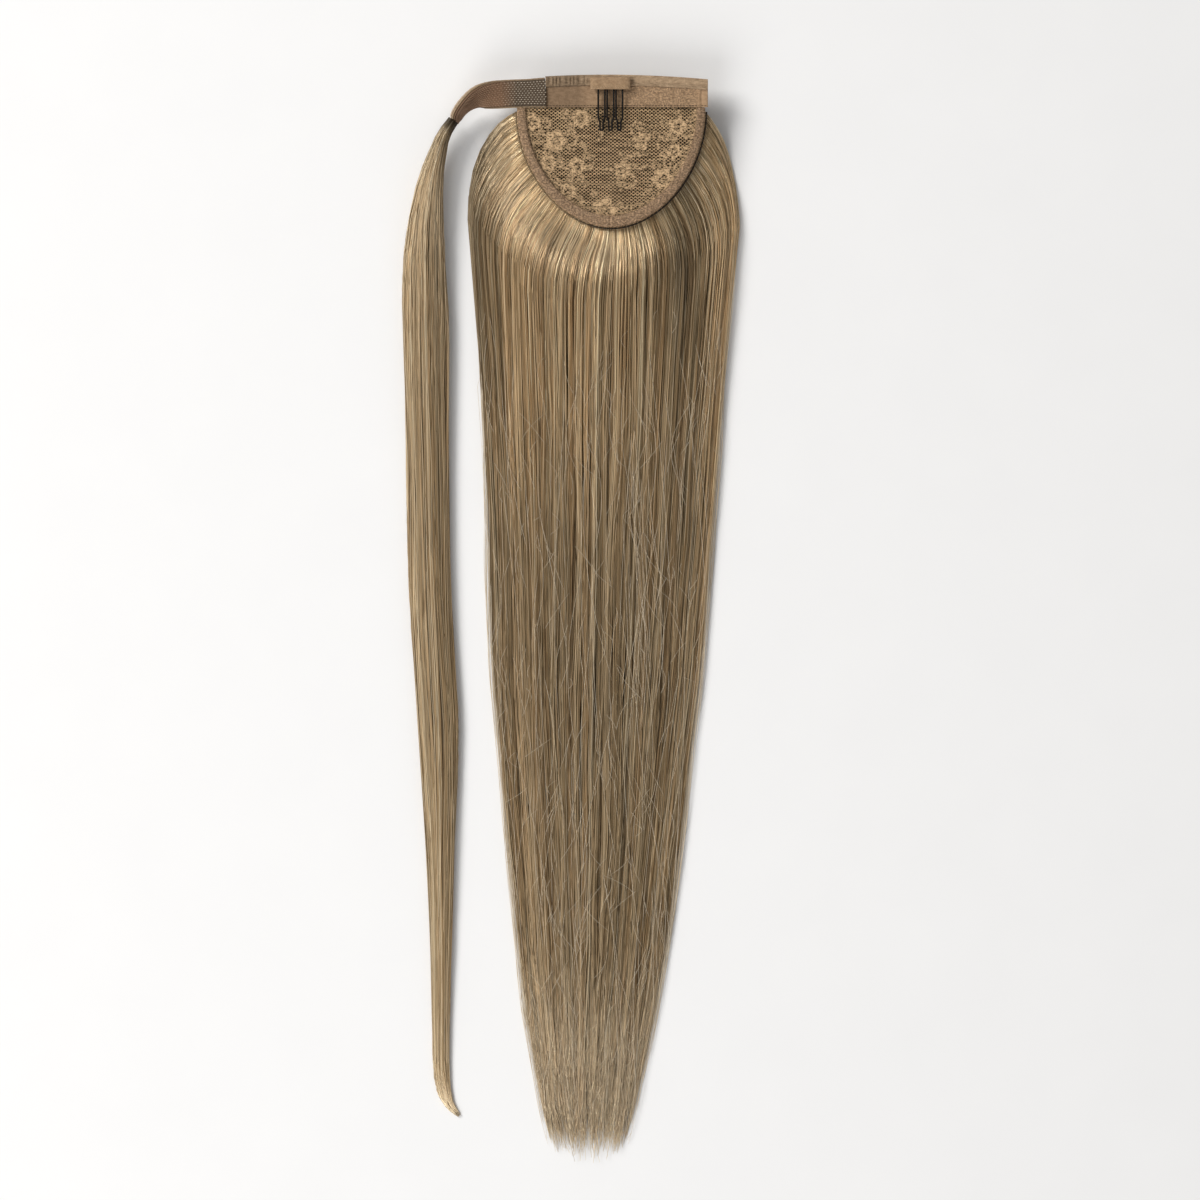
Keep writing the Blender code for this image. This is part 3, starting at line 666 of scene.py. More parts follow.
def lace_finish():
    """Cotton lace: crumpled, openwork motifs with corded edges, on rows of fine diamond net."""
    made = Finish("floral_lace", Roughness=0.85, Specular_IOR_Level=0.2)
    x, y, _ = made.place_mm()
    inside = made.node("Attribute", {"attribute_name": "motif"}, output=2)
    torn = made.noise(made.vector(x * 0.8, y * 1.25), 0.55, 4.0, 0.7)
    ragged = inside + (torn - 0.5) * 7.0
    motif = ragged.above(0.0)
    cord = 1.0 - ((ragged - 0.3).size() * 2.2).smaller(1.0)
    row = made.noise(made.vector(x * 0.1, y), 0.9, 3.0, 0.6)
    warp = ((x * 0.8 + y) / 1.8).fraction() - 0.5
    weft = ((x * 0.8 - y) / 1.8).fraction() - 0.5
    net = (warp.size().larger(weft.size())).above(0.55 - row * 0.34)
    pitted = made.noise(made.vector(x * 0.85, y * 1.2), 0.95, 3.0, 0.65)
    eyelet = pitted.above(0.6)
    seam = (y + (x * 0.09).sine() * 0.9 - 239.0).size()
    seam = seam.smaller((y + (x * 0.11).sine() * 0.7 - 226.5).size())
    sewn = 1.0 - (seam * 2.4).smaller(1.0)
    light = made.ramp(pitted, (0.48, (0.84, 0.575, 0.33)), (0.63, (0.2, 0.12, 0.055)))
    # The corded edges are painted lighter, a painted highlight on the raised cord.
    motif_tint = made.dim(light, 0.84 + cord * 0.3 - sewn * 0.5)
    thread_tint = made.ramp(row, (0.3, (0.38, 0.25, 0.135)), (0.7, (0.64, 0.44, 0.245)))
    net_tint = made.dim(thread_tint, 1.0 - sewn * 0.5)
    height = motif * (0.6 - pitted * 0.9) + cord * motif * 0.5 + net * 0.15
    return made.set(
        Base_Color=made.blend(motif, net_tint, motif_tint),
        Alpha=(motif * (1.0 - eyelet)).larger(net).larger(sewn.above(0.3)),
        Normal=made.bump(height, 0.7),
    )


def tape_finish(name, dark, light, pitch=0.42, sheen=0.0, left_end_level=1.0, crumpled=0.12, crumpled_right=0.0):
    """Woven tape with slanting ribs of fine thread.

    left_end_level darkens its left end. crumpled is how much of a fine lacy mottle it has, with
    crumpled_right more of it right of the comb.
    """
    made = Finish(name, Roughness=0.75, Specular_IOR_Level=0.25, Sheen_Weight=sheen)
    u, v = made.cloth_mm()
    x, y, _ = made.place_mm()
    rib = ((u + v * 0.6) * (FULL_TURN / pitch)).sine() * 0.5 + 0.5
    thread = ((v - u * 0.15) * (FULL_TURN / pitch / 1.3)).sine() * 0.5 + 0.5
    uneven = made.noise(made.vector(u, v * 1.7), 0.35, 4.0, 0.6)
    lacy = ((made.noise(made.vector(x, y * 1.3), 0.85, 3.0, 0.65) - 0.41) * 5.5).clipped()
    amount = crumpled + x.rise(22.0, 32.0) * x.rise(70.0, 67.0) * crumpled_right
    left_end = x.rise(16.0, 2.0)
    shade = 0.8 + rib * 0.22 + thread * 0.12 + (lacy - 0.5) * amount * 1.5
    shade = shade * (1.0 - left_end * (1.0 - left_end_level))
    return made.set(
        Base_Color=made.dim(made.ramp(uneven, (0.3, dark), (0.7, light)), shade),
        Normal=made.bump(rib * 0.6 + thread * 0.4 + uneven * 2.0 + lacy * amount * 5.0, 0.14),
    )


def pile_finish():
    """The strap's soft loop pile."""
    made = Finish("loop_pile", Roughness=0.9, Specular_IOR_Level=0.2, Sheen_Weight=0.4)
    x, y, z = made.place_mm()
    fuzz = made.noise(made.vector(x, y, z), 3.2, 4.0, 0.7)
    tint = made.ramp(fuzz, (0.35, (0.36, 0.25, 0.155)), (0.65, (0.74, 0.59, 0.43)))
    return made.set(Base_Color=tint, Normal=made.bump(fuzz, 0.5))


def hook_place(made):
    """1 near the cap, where the strap lies flat and its hooks catch light, 0 further out, where it turns."""
    return made.place_mm()[0].rise(-39.0, -30.0)


def hook_tape_finish():
    """The hook tape's woven ground: dark taupe near the cap, reddish brown further out.

    The two looks are painted light and shade on one tape, lit differently as the strap turns.
    """
    made = Finish("hook_tape_ground", Roughness=0.7, Specular_IOR_Level=0.25)
    u, v = made.cloth_mm()
    rib = (u * (FULL_TURN / 0.9)).sine() * (v * (FULL_TURN / 0.6)).sine()
    uneven = made.noise(made.vector(u, v), 0.5, 4.0, 0.6)
    tint = made.blend(hook_place(made), colour(0.25, 0.145, 0.085), colour(0.13, 0.094, 0.063))
    woven = made.dim(tint, 0.72 + uneven * 0.5 + rib * 0.16)
    return made.set(Base_Color=woven, Normal=made.bump(rib + uneven, 0.15))


def hook_thread_finish():
    """The hooks: whitish near the cap, brown further out.

    The whitish hooks are painted glints where the strap lies flat; the brown is shade where it turns.
    """
    made = Finish("small_hooks", Roughness=0.5, Specular_IOR_Level=0.4)
    x, y, z = made.place_mm()
    tone = made.noise(made.vector(x, y, z), 0.6, 3.0)
    # Painted glints and shade: whitish hooks where the strap lies flat, brown where it turns.
    tint = made.blend(hook_place(made), colour(0.42, 0.265, 0.17), colour(0.72, 0.61, 0.48))
    return made.set(Base_Color=made.dim(tint, 0.35 + tone * 1.1))


def thread_finish(name, dark, light, scale=5.0):
    """Sewing thread with its plies showing."""
    made = Finish(name, Roughness=0.6, Specular_IOR_Level=0.35)
    x, y, z = made.place_mm()
    ply = ((x + y + z) * scale).sine() * 0.5 + 0.5
    tone = made.noise(made.vector(x, y, z), 0.8, 2.0)
    tint = made.ramp(ply * 0.5 + tone * 0.5, (0.2, dark), (0.8, light))
    return made.set(Base_Color=tint, Normal=made.bump(ply, 0.08))


def weft_finish():
    """The weft's sewing thread: the hair's own brown on the left, dark on the right.

    The dark on the right is partly the thread's colour and partly painted shadow along the rim.
    """
    made = Finish("weft_sewing_and_shadow", Roughness=0.6, Specular_IOR_Level=0.3)
    x, y, z = made.place_mm()
    ply = ((x + y + z) * 5.0).sine() * 0.5 + 0.5
    # Painted shadow: the thread is dark on the right, where the rim's shadow falls, and hair-brown on the
    # left.
    dark = x.rise(-8.0, 14.0)
    tint = made.blend(dark, colour(0.24, 0.165, 0.09), colour(0.03, 0.019, 0.011))
    return made.set(Base_Color=made.dim(tint, 0.7 + ply * 0.5), Normal=made.bump(ply, 0.08))


def wire_finish():
    """Black lacquered wire, slightly worn."""
    made = Finish("black_lacquer", Roughness=0.5, Specular_IOR_Level=0.1)
    x, y, z = made.place_mm()
    wear = made.noise(made.vector(x, y, z), 0.9, 4.0)
    tint = made.ramp(wear, (0.4, (0.006, 0.0055, 0.005)), (0.75, (0.022, 0.019, 0.017)))
    return made.set(Base_Color=tint, Roughness=0.38 + wear * 0.25)


def fall_share(turn):
    """Where hair sewn at that turn of the rim lies across the fall."""
    return 0.99 * np.sign(turn) * (1 - (1 - np.abs(turn)) ** FALL_CROWDING)


def split_turns(dice, count):
    """Uneven steps from -1 to 1: the edges of neighbouring clumps of hair."""
    widths = dice.uniform(0.45, 1.6, count).cumsum()
    return np.concatenate([[-1.0], 2 * widths / widths[-1] - 1])


def waves(dice, count, shortest, longest):
    """For each clump a slow sideways wander along y, as a function of clump numbers and y."""
    length = dice.uniform(shortest, longest, (2, count))
    phase = dice.uniform(0, 2 * np.pi, (2, count))

    def wander(number, y):
        first = np.sin(2 * np.pi * y / length[0][number] + phase[0][number])
        second = np.sin(2 * np.pi * y / length[1][number] * 1.7 + phase[1][number])
        return first * 0.65 + second * 0.35

    return wander


def hair_fall(hair, packed):
    """The long fall of hair: strands in clumps that fan out from under the rim, over a packed inner mass.

    A strand starts at a turn of the rim, lies at a share of the fall's width, and is cut off some way above
    the longest tips.
    """
    dice = np.random.default_rng(11)
    turn = np.sort(dice.uniform(-1, 1, FALL_STRANDS))
    depth = dice.beta(0.75, 2.3, FALL_STRANDS)
    edges, sub_edges = split_turns(dice, FALL_CLUMPS), split_turns(dice, FALL_SUB_CLUMPS)
    clump = np.searchsorted(edges, turn) - 1
    sub_clump = np.searchsorted(sub_edges, turn) - 1
    clump_share = fall_share((edges[:-1] + edges[1:]) / 2)[clump][:, None]
    sub_share = fall_share((sub_edges[:-1] + sub_edges[1:]) / 2)[sub_clump][:, None]
    clump_half = (np.diff(fall_share(edges)) / 2)[clump][:, None]
    share = fall_share(turn)[:, None] + dice.normal(0, 0.012, (FALL_STRANDS, 1))
    wander = waves(dice, FALL_CLUMPS, 190, 420)
    sub_wander = waves(dice, FALL_SUB_CLUMPS, 120, 300)
    clump_level = dice.uniform(-0.7, 0.6, FALL_CLUMPS)[clump][:, None]
    crowd = np.abs(turn)[:, None]

    lock_edges = split_turns(dice, FALL_LOCKS)
    lock = np.searchsorted(lock_edges, turn) - 1
    lock_share = fall_share((lock_edges[:-1] + lock_edges[1:]) / 2)[lock][:, None]
    cut = CUT_SPREAD * dice.random(FALL_STRANDS) ** 0.75
    cut += dice.uniform(0, CUT_BY_LOCK, FALL_LOCKS)[lock]
    cut += dice.uniform(0, CUT_BY_CLUMP, FALL_CLUMPS)[clump]
    longest = dice.random(FALL_STRANDS) < LONGEST_SHARE
    cut = np.where(longest, dice.uniform(*LONGEST_CUT, FALL_STRANDS), np.maximum(cut, 3.0))
    lock_half = (np.diff(fall_share(lock_edges)) / 2)[lock][:, None]
    off_lock = np.abs(fall_share(turn)[:, None] - lock_share) / lock_half
    notch = CUT_AT_LOCK_SIDES * np.clip(off_lock, 0, 1) ** 2
    tip_y = (FALL_TIP_Y + cut)[:, None] + 5 * share**2 + 7 * share**6 + notch

    def plan_share(y):
        """Strands draw together into their clumps on the way down."""
        gone = np.clip((240 - y) / 530, 0, 1)
        tips = ease((-225 - y) / 70)
        near = share + (sub_share - share) * (0.1 + 0.2 * gone + 0.25 * tips)
        near = near + (clump_share - sub_share) * (0.05 + 0.15 * gone + 0.2 * tips)
        return near + (lock_share - clump_share) * 0.62 * tips

    limits = ((-0.85, 0.9), (-230, 210), (60, 130), (0.3, 0.7))
    partings = joined(*[dice.uniform(low, high, PARTINGS) for low, high in limits])

    def plan_x(y):
        settled = ease((250 - y) / 120) * (1 - np.abs(share) ** 8)
        drift = 1.5 * wander(clump[:, None], y) + 0.7 * sub_wander(sub_clump[:, None], y)
        opened = 0
        for middle, middle_y, run_length, wide in partings:
            off = share - middle
            fading = np.exp(-np.abs(off) / 0.03 - ((y - middle_y) / run_length) ** 2)
            opened = opened + wide * np.sign(off) * fading
        return fall_x(plan_share(y), y) + (drift + opened) * settled

    root, outward = rim(turn)
    meet_y = root[:, 1:] - BEND_DROP - BEND_DROP_SIDE * crowd
    meet_y = meet_y + dice.uniform(-3, 3, (FALL_STRANDS, 1))
    meet = np.concatenate([plan_x(meet_y), meet_y], axis=1)
    below_x = plan_x(meet_y - 6)
    slope = np.concatenate([below_x - meet[:, :1], np.full((FALL_STRANDS, 1), -6.0)], axis=1)
    slope /= np.linalg.norm(slope, axis=1, keepdims=True)
    droop = 0.4 + 0.7 * np.clip(turn, 0, 1) ** 2 + dice.normal(0, 0.03, FALL_STRANDS)
    lean = outward - joined(0.0, droop)
    lean /= np.linalg.norm(lean, axis=1, keepdims=True)
    start = 13 - 3 * crowd**2 + crowd**3 * dice.uniform(3, 9, (FALL_STRANDS, 1))
    bend = [root, root + lean * start, meet - slope * 25, meet]
    plan = [root - outward * ROOT_TUCK]
    for t in (0.0, 0.1, 0.22, 0.36, 0.52, 0.68, 0.84, 1.0):
        weights = ((1 - t) ** 3, 3 * t * (1 - t) ** 2, 3 * t * t * (1 - t), t**3)
        plan.append(sum(weight * point for weight, point in zip(weights, bend)))
    for gone in (0.16, 0.33, 0.5, 0.67, 0.84, 0.975, 1.0):
        y = meet_y + (tip_y - meet_y) * gone
        stray = dice.normal(0, 0.55 + 0.5 * gone, (FALL_STRANDS, 1))
        plan.append(np.concatenate([plan_x(y) + stray, y], axis=1))
    plan = np.stack(plan, axis=1)
    y = plan[:, :, 1]
    room = 0.4 + dice.uniform(0, 1.2, (FALL_STRANDS, 1))
    left_limit, right_limit = fall_read(1, y) + room, fall_read(2, y) - room
    plan[:, 2:, 0] = np.clip(plan[:, 2:, 0], left_limit[:, 2:], right_limit[:, 2:])

    run = np.linalg.norm(np.diff(plan, axis=1), axis=-1).cumsum(axis=1)
    out = np.concatenate([np.zeros((FALL_STRANDS, 1)), run], axis=1) - ROOT_TUCK
    across = plan_share(y)
    side = np.where(turn < 0, 1 + 0.35 * turn, 1 - 1.5 * turn)[:, None]
    hump = 3.0 * np.exp(-(((out - 30) / 20) ** 2)) * (1 - depth[:, None]) * side
    ridge = np.clip(np.abs(across - clump_share) / clump_half, 0, 1.2) ** 2
    relief = (clump_level - 0.8 * ridge) * ease((out - 4) / 40)
    settled = fall_top(across, np.minimum(y, SHOULDER_SETTLED_Y)) + relief + hump
    settled = np.maximum(settled * (1 - 0.8 * depth[:, None]), 0.35)
    root_level = (15.3 - 7 * depth)[:, None]
    level = root_level + (settled - root_level) * ease(out / 28)
    paths = np.concatenate([plan, level[:, :, None]], axis=2)

    slender = np.ones(paths.shape[1])
    slender[-3:] = (1.0, 0.75, 0.4)
    half_widths = dice.uniform(*FALL_HALF_WIDTHS, (FALL_STRANDS, 1)) * slender
    tone = 0.5 + dice.normal(0, 0.2, FALL_STRANDS) + dice.normal(0, 0.055, FALL_CLUMPS)[clump]
    tone = tone + dice.normal(0, 0.075, FALL_SUB_CLUMPS)[sub_clump]
    family = dice.choice(3, FALL_CLUMPS, p=(0.3, 0.4, 0.3))[clump]
    mixed = dice.random(FALL_STRANDS) < 0.35
    family = np.where(mixed, dice.integers(0, 3, FALL_STRANDS), family)
    tone = tone_place(tone, family)
    for number, chosen in enumerate(np.array_split(np.arange(FALL_STRANDS), 4)):
        name = f"fall_strands_{number + 1}"
        strands = tubes(name, paths[chosen], half_widths[chosen], STRAND_SECTION, hair, tone[chosen])
        own(strands, "hair", "hair_fall")

    stations = np.concatenate([np.linspace(286, 200, 14), np.linspace(190, -236, 34)])
    left, right, height = packed_form(stations)
    ring_x = np.cos(np.linspace(0, np.pi, 29))
    ring_z = (1 - np.abs(ring_x) ** FALL_CROWN) ** 0.5
    rings = np.zeros((len(stations), len(ring_x), 3))
    rings[:, :, 0] = ((left + right) / 2)[:, None] + ((right - left) / 2)[:, None] * ring_x
    rings[:, :, 1] = stations[:, None]
    rings[:, :, 2] = 0.2 + height[:, None] * ring_z
    skin("fall_packed_hair", rings, packed, "hair", "hair_fall")


def packed_form(y):
    """Left edge, right edge and height of the fall's packed inside.

    It is thin near the tips and low under the cap.
    """
    thin = ease((y + 238) / 150)
    below_band = 1.4 * np.clip(276 - y, 0, None)
    left = np.maximum(fall_read(1, y) + 4, CAP_MIDDLE_X - CAP_HALF_WIDTH + 1 - below_band)
    right = np.minimum(fall_read(2, y) - 4, CAP_MIDDLE_X + CAP_HALF_WIDTH - 1 + below_band)
    drawn_in = (right - left) * (1 - thin) * 0.1
    height = fall_read(3, y) * 0.74
    height += (np.minimum(height, 12.0) - height) * ease((y - 205) / 14)
    return left + drawn_in, right - drawn_in, height * (0.15 + 0.85 * thin)


def tucked_hair(hair):
    """The hair's upper end, hidden from above by the cap: strands packed side by side and cut off level."""
    dice = np.random.default_rng(41)
    count = TUCKED_STRANDS
    share = dice.uniform(-1, 1, (count, 1))
    high = dice.uniform(0.0, 1.0, (count, 1)) ** 0.6 * 1.03
    start_y = 290.5 - dice.uniform(0, 3.5, (count, 1))
    y = start_y - np.linspace(0, 1, 4) * dice.uniform(9, 19, (count, 1))
    left, right, height = packed_form(np.minimum(y, 286))
    x = (left + right) / 2 + (right - left) / 2 * share + dice.normal(0, 0.3, y.shape)
    level = 0.45 + height * high * (1 - np.abs(share) ** FALL_CROWN * 0.97) ** 0.5
    half_widths = np.full(y.shape, TUCKED_HALF_WIDTH)
    tone = tone_place(0.3 + dice.normal(0, 0.15, count), dice.integers(0, 3, count))
    paths = joined(x, y, level)
    strands = tubes("tucked_strands", paths, half_widths, STRAND_SECTION, hair, tone)
    own(strands, "hair")


def wrap_lock(hair, packed):
    """The thin lock on the strap's end: strands over a packed inner mass, drawn out to a curling tip."""
    dice = np.random.default_rng(23)
    last = len(LOCK) - 1
    around = dice.uniform(0, 2 * np.pi, LOCK_STRANDS)
    reach = dice.uniform(0.72, 1.0, LOCK_STRANDS)
    short = dice.random(LOCK_STRANDS) < 0.25
    cut = np.where(short, dice.uniform(0, 7, LOCK_STRANDS), dice.exponential(0.7, LOCK_STRANDS))
    gone = np.concatenate([np.linspace(0, 0.96, 19), [0.985, 1.0]])
    places = -0.5 + (last + 0.5 - cut)[:, None] * gone
    x, y, half_width, bottom, top = read_table(LOCK, places)
    before_start = np.clip(-places, 0, None)
    x, y = x + 3.1 * before_start, y + 4.55 * before_start
    forward = plan_heading(LOCK, np.clip(places - 0.2, 0, last - 0.2), np.clip(places + 0.2, 0.2, last))
    clump_angle = np.linspace(0, 2 * np.pi, LOCK_CLUMPS + 1)[:-1]
    clump = np.floor(around / (2 * np.pi) * LOCK_CLUMPS).astype(int)
    drawn = (around - clump_angle[clump] - np.pi / LOCK_CLUMPS)[:, None] * 0.2 * ease(gone * 1.5)
    turned = around[:, None] - drawn
    wander = waves(dice, LOCK_CLUMPS, 150, 330)
    drift = 0.09 * wander(clump[:, None], y) * ease(gone * 4)
    drift = drift + dice.normal(0, 0.035, (LOCK_STRANDS, len(gone))) * ease(gone * 6)
    across = np.clip(np.cos(turned) * reach[:, None] + drift, -1, 1)
    tall = (top - bottom) / 2 - 0.3
    level = bottom + 0.35 + tall * (1 + np.sin(turned) * reach[:, None])
    sideways = across * half_width
    paths = joined(x - forward[:, :, 1] * sideways, y + forward[:, :, 0] * sideways, level)
    slender = np.ones(len(gone))
    slender[-3:] = (1.0, 0.85, 0.15)
    half_widths = dice.uniform(*LOCK_HALF_WIDTHS, (LOCK_STRANDS, 1)) * slender
    tone = 0.66 + dice.normal(0, 0.18, LOCK_STRANDS) + dice.normal(0, 0.09, LOCK_CLUMPS)[clump]
    # Painted shade: strands on the lock's right side are darker, those on its left side lighter.
    tone -= 0.14 * np.cos(around)
    tone = tone_place(tone, dice.integers(0, 3, LOCK_STRANDS))
    strands = tubes("lock_strands", paths, half_widths, STRAND_SECTION, hair, tone)
    own(strands, "hair", "wrap_lock")

    stations = np.linspace(0.6, last - 1.6, 44)
    x, y, half_width, bottom, top = read_table(LOCK, stations)
    forward = plan_heading(LOCK, stations - 0.1, stations + 0.1)
    angle = np.linspace(0, 2 * np.pi, 17)[:-1]
    reach = (half_width * 0.82 - 0.3)[:, None] * np.cos(angle)
    rings = np.zeros((len(stations), len(angle), 3))
    rings[:, :, 0] = x[:, None] - forward[:, 1:] * reach
    rings[:, :, 1] = y[:, None] + forward[:, :1] * reach
    rings[:, :, 2] = ((bottom + top) / 2)[:, None] + ((top - bottom) * 0.38)[:, None] * np.sin(angle)
    skin("lock_packed_hair", rings, packed, "hair", "wrap_lock")


def single_hairs(name, x, y, level, half_width, pale, dice):
    """Loose hairs along their paths, thin at both ends."""
    half_widths = np.full(y.shape, half_width)
    half_widths[:, 0] = 0.03
    half_widths[:, -1] = 0.02
    paths = joined(x, y, level)
    tones = dice.uniform(0.1, 0.9, len(paths))
    own(tubes(name, paths, half_widths, STRAND_SECTION, pale, tones), "hair")


def flyaways(pale):
    """Loose single hairs: long ones that cross the surface and short curly ones that stand off it."""
    dice = np.random.default_rng(31)
    gone = np.linspace(0, 1, 16)
    for name, count, shortest, longest, slant_spread, bow_spread in (
        ("long_loose_hairs", 150, 40, 150, 0.08, 4.0),
        ("short_loose_hairs", 300, 6, 26, 0.36, 1.6),
    ):
        share = dice.uniform(-1, 1, count)
        start_y = dice.uniform(-265, 170, count)
        length = np.minimum(dice.uniform(shortest, longest, count), start_y + 290)
        turned = dice.normal(0, slant_spread, count)[:, None]
        y = start_y[:, None] - length[:, None] * gone * np.cos(turned)
        wave = gone * dice.uniform(2, 6, count)[:, None] + dice.uniform(0, 6, count)[:, None]
        x = (
            fall_x(share, start_y)[:, None]
            + length[:, None] * gone * np.sin(turned)
            + dice.normal(0, bow_spread, count)[:, None] * np.sin(gone * np.pi)
            + 0.3 * np.sin(wave)
        )
        left, right = fall_read(1, y), fall_read(2, y)
        x = np.clip(x, left - 1.6, right + 1.3)
        across = np.clip((x - left) / (right - left) * 2 - 1, -0.99, 0.99)
        lifted = dice.uniform(0.4, 1.6, count)[:, None]
        level = fall_top(across, y) + 0.5 + lifted * np.sin(gone * np.pi)
        single_hairs(name, x, y, level, LOOSE_HALF_WIDTH, pale, dice)


def edge_wisps(pale):
    """Long pale hairs that stand a little off both sides of the fall."""
    dice = np.random.default_rng(37)
    gone = np.linspace(0, 1, 18)
    count = WISPS
    start_y = dice.uniform(-190, 205, count)
    length = np.minimum(dice.uniform(60, 300, count), start_y + dice.uniform(225, 285, count))
    y = start_y[:, None] - length[:, None] * gone
    side = np.where(dice.random(count) < 0.55, -1.0, 1.0)[:, None]
    bow = dice.uniform(0.2, 1.0, count)[:, None] ** 1.6 * 3.6
    wave = 0.35 * np.sin(gone * dice.uniform(4, 11, count)[:, None] + dice.uniform(0, 6, count)[:, None])
    edge = np.where(side < 0, fall_read(1, y), fall_read(2, y))
    drawn_in = dice.uniform(0.6, 4.0, count)[:, None]
    x = edge + side * (bow * np.sin(gone * np.pi * 0.62) - drawn_in + wave)
    level = 0.4 + dice.uniform(0, 0.3, count)[:, None] * fall_read(3, y) * (1 - gone * 0.5)
    single_hairs("edge_wisps", x, y, level, WISP_HALF_WIDTH, pale, dice)


def petal_flower(x, y, centre_x, centre_y, radius, petals, turn):
    """How far inside a flower each point is. It has rounded petals and an open ring round its eye."""
    away = np.hypot(x - centre_x, y - centre_y)
    angle = np.arctan2(y - centre_y, x - centre_x) - turn
    lobes = np.abs(np.cos(angle * petals / 2)) ** 0.6
    outer = radius * (0.62 + 0.38 * lobes) - away
    eye = np.abs(away - radius * 0.27) - radius * 0.07
    slit = radius * 0.62 - (1 - lobes) * radius * 0.75 + np.abs(away - radius * 0.5) * 0.4
    return np.minimum(np.minimum(outer, eye), slit)


def leaf(x, y, centre_x, centre_y, length, width, turn):
    """How far inside a pointed leaf with an open vein each point is."""
    along = (x - centre_x) * math.cos(turn) + (y - centre_y) * math.sin(turn)
    across = (y - centre_y) * math.cos(turn) - (x - centre_x) * math.sin(turn)
    body = width * (1 - (along / length) ** 2) - np.abs(across)
    vein = np.abs(across) - 0.28 + (np.abs(along) > length * 0.7) * 1.0
    return np.minimum(body, vein)


def scroll(x, y, start_x, start_y, heading, curl, length):
    """How far inside a curling stem, 1.5 mm wide, each point is."""
    steps = np.linspace(0, length, 26)
    headings = heading + curl * steps
    path_x = start_x + np.cumsum(np.cos(headings)) * length / 26
    path_y = start_y + np.cumsum(np.sin(headings)) * length / 26
    nearest = np.min(np.hypot(x[:, None] - path_x[None, :], y[:, None] - path_y[None, :]), axis=1)
    return 0.75 - nearest


def lace_motif(points):
    """How far each point of the lace is inside its motifs: flowers, leaves and scrolls, strewn evenly."""
    dice = np.random.default_rng(5)
    x, y = points[:, 0], points[:, 1]
    reach = np.clip(np.abs(x - CAP_MIDDLE_X) / CAP_HALF_WIDTH, 0, 1) ** CAP_ROUNDNESS
    reach = reach + np.clip((CAP_SHOULDER_Y - y) / CAP_DEPTH, 0, 1) ** CAP_ROUNDNESS
    inside = -1.25 + 1.7 * ease((reach - 0.6) / 0.28)
    spots = [
        (-22, 272, 5.5), (-9, 262, 6.5), (5, 274, 5.5), (3, 248, 5.5), (18, 224, 7.5), (28, 246, 5.0),
        (50, 241, 6.5), (38, 262, 5.0), (58, 270, 5.5), (56, 256, 4.5), (-13, 250, 5.0), (-2, 234, 5.0),
    ]
    for centre_x, centre_y, radius in spots:
        petals = int(dice.integers(5, 8))
        flower = petal_flower(x, y, centre_x, centre_y, radius, petals, dice.uniform(0, 6))
        inside = np.maximum(inside, flower)
        for _ in range(5):
            turn = dice.uniform(0, 2 * math.pi)
            away = radius + dice.uniform(1.5, 3.5)
            leaf_x, leaf_y = centre_x + away * math.cos(turn), centre_y + away * math.sin(turn)
            length, width = dice.uniform(2.6, 4.4), dice.uniform(1.1, 1.8)
            heading = turn + dice.uniform(-0.9, 0.9)
            inside = np.maximum(inside, leaf(x, y, leaf_x, leaf_y, length, width, heading))
        for _ in range(2):
            turn = dice.uniform(0, 2 * math.pi)
            stem_x, stem_y = centre_x + radius * math.cos(turn), centre_y + radius * math.sin(turn)
            curl = dice.choice([-1, 1]) * dice.uniform(0.12, 0.3)
            inside = np.maximum(inside, scroll(x, y, stem_x, stem_y, turn, curl, dice.uniform(9, 16)))
    return inside


def lace_panel(finish):
    """The half-moon of lace, sagging a little between the band and the rim."""
    half_width = CAP_HALF_WIDTH - LACE_INSET
    depth = CAP_DEPTH - LACE_INSET

    def outline(reach):
        x = CAP_MIDDLE_X + half_width * reach
        bottom = CAP_SHOULDER_Y - depth * (1 - np.abs(reach) ** CAP_ROUNDNESS) ** (1 / CAP_ROUNDNESS)
        return x, bottom, straight_edge(x) - LACE_INSET

    def place(across, along):
        reach = np.sin((across * 2 - 1) * np.pi / 2)
        x, bottom, top = outline(reach)
        y = bottom + (top - bottom) * along
        hem = bottom + BINDING_FRONT_WIDTH
        free = np.clip((y - hem) / np.maximum(1, BAND_BOTTOM_Y - hem), 0, 1)
        sag = LACE_SAG * 4 * free * (1 - free) * np.clip(1 - (reach / 0.88) ** 2, 0, 1)
        pucker = 0.12 * np.sin(x * 0.9 + 2 * np.sin(y * 0.13)) * np.sin(y * 0.45) * free
        relief = 0.16 * ease(lace_motif(joined(x.ravel(), y.ravel())) / 0.8 + 0.5)
        return x, y, LACE_LEVEL - sag + pucker + relief.reshape(x.shape)

    reach = np.sin(np.linspace(-1, 1, 200) * np.pi / 2)
    x, bottom, top = outline(reach)
    area = float(np.sum((top - bottom)[:-1] * np.diff(x)))
    panel = cloth("lace_net", 150, 118, place, LACE_THICK, finish, ("motif", lace_motif))
    own(panel, "lace", "lace_panel")
    return panel, (2 * half_width * MM, (CAP_TOP_Y - CAP_SHOULDER_Y + CAP_DEPTH) * MM), area * MM * MM


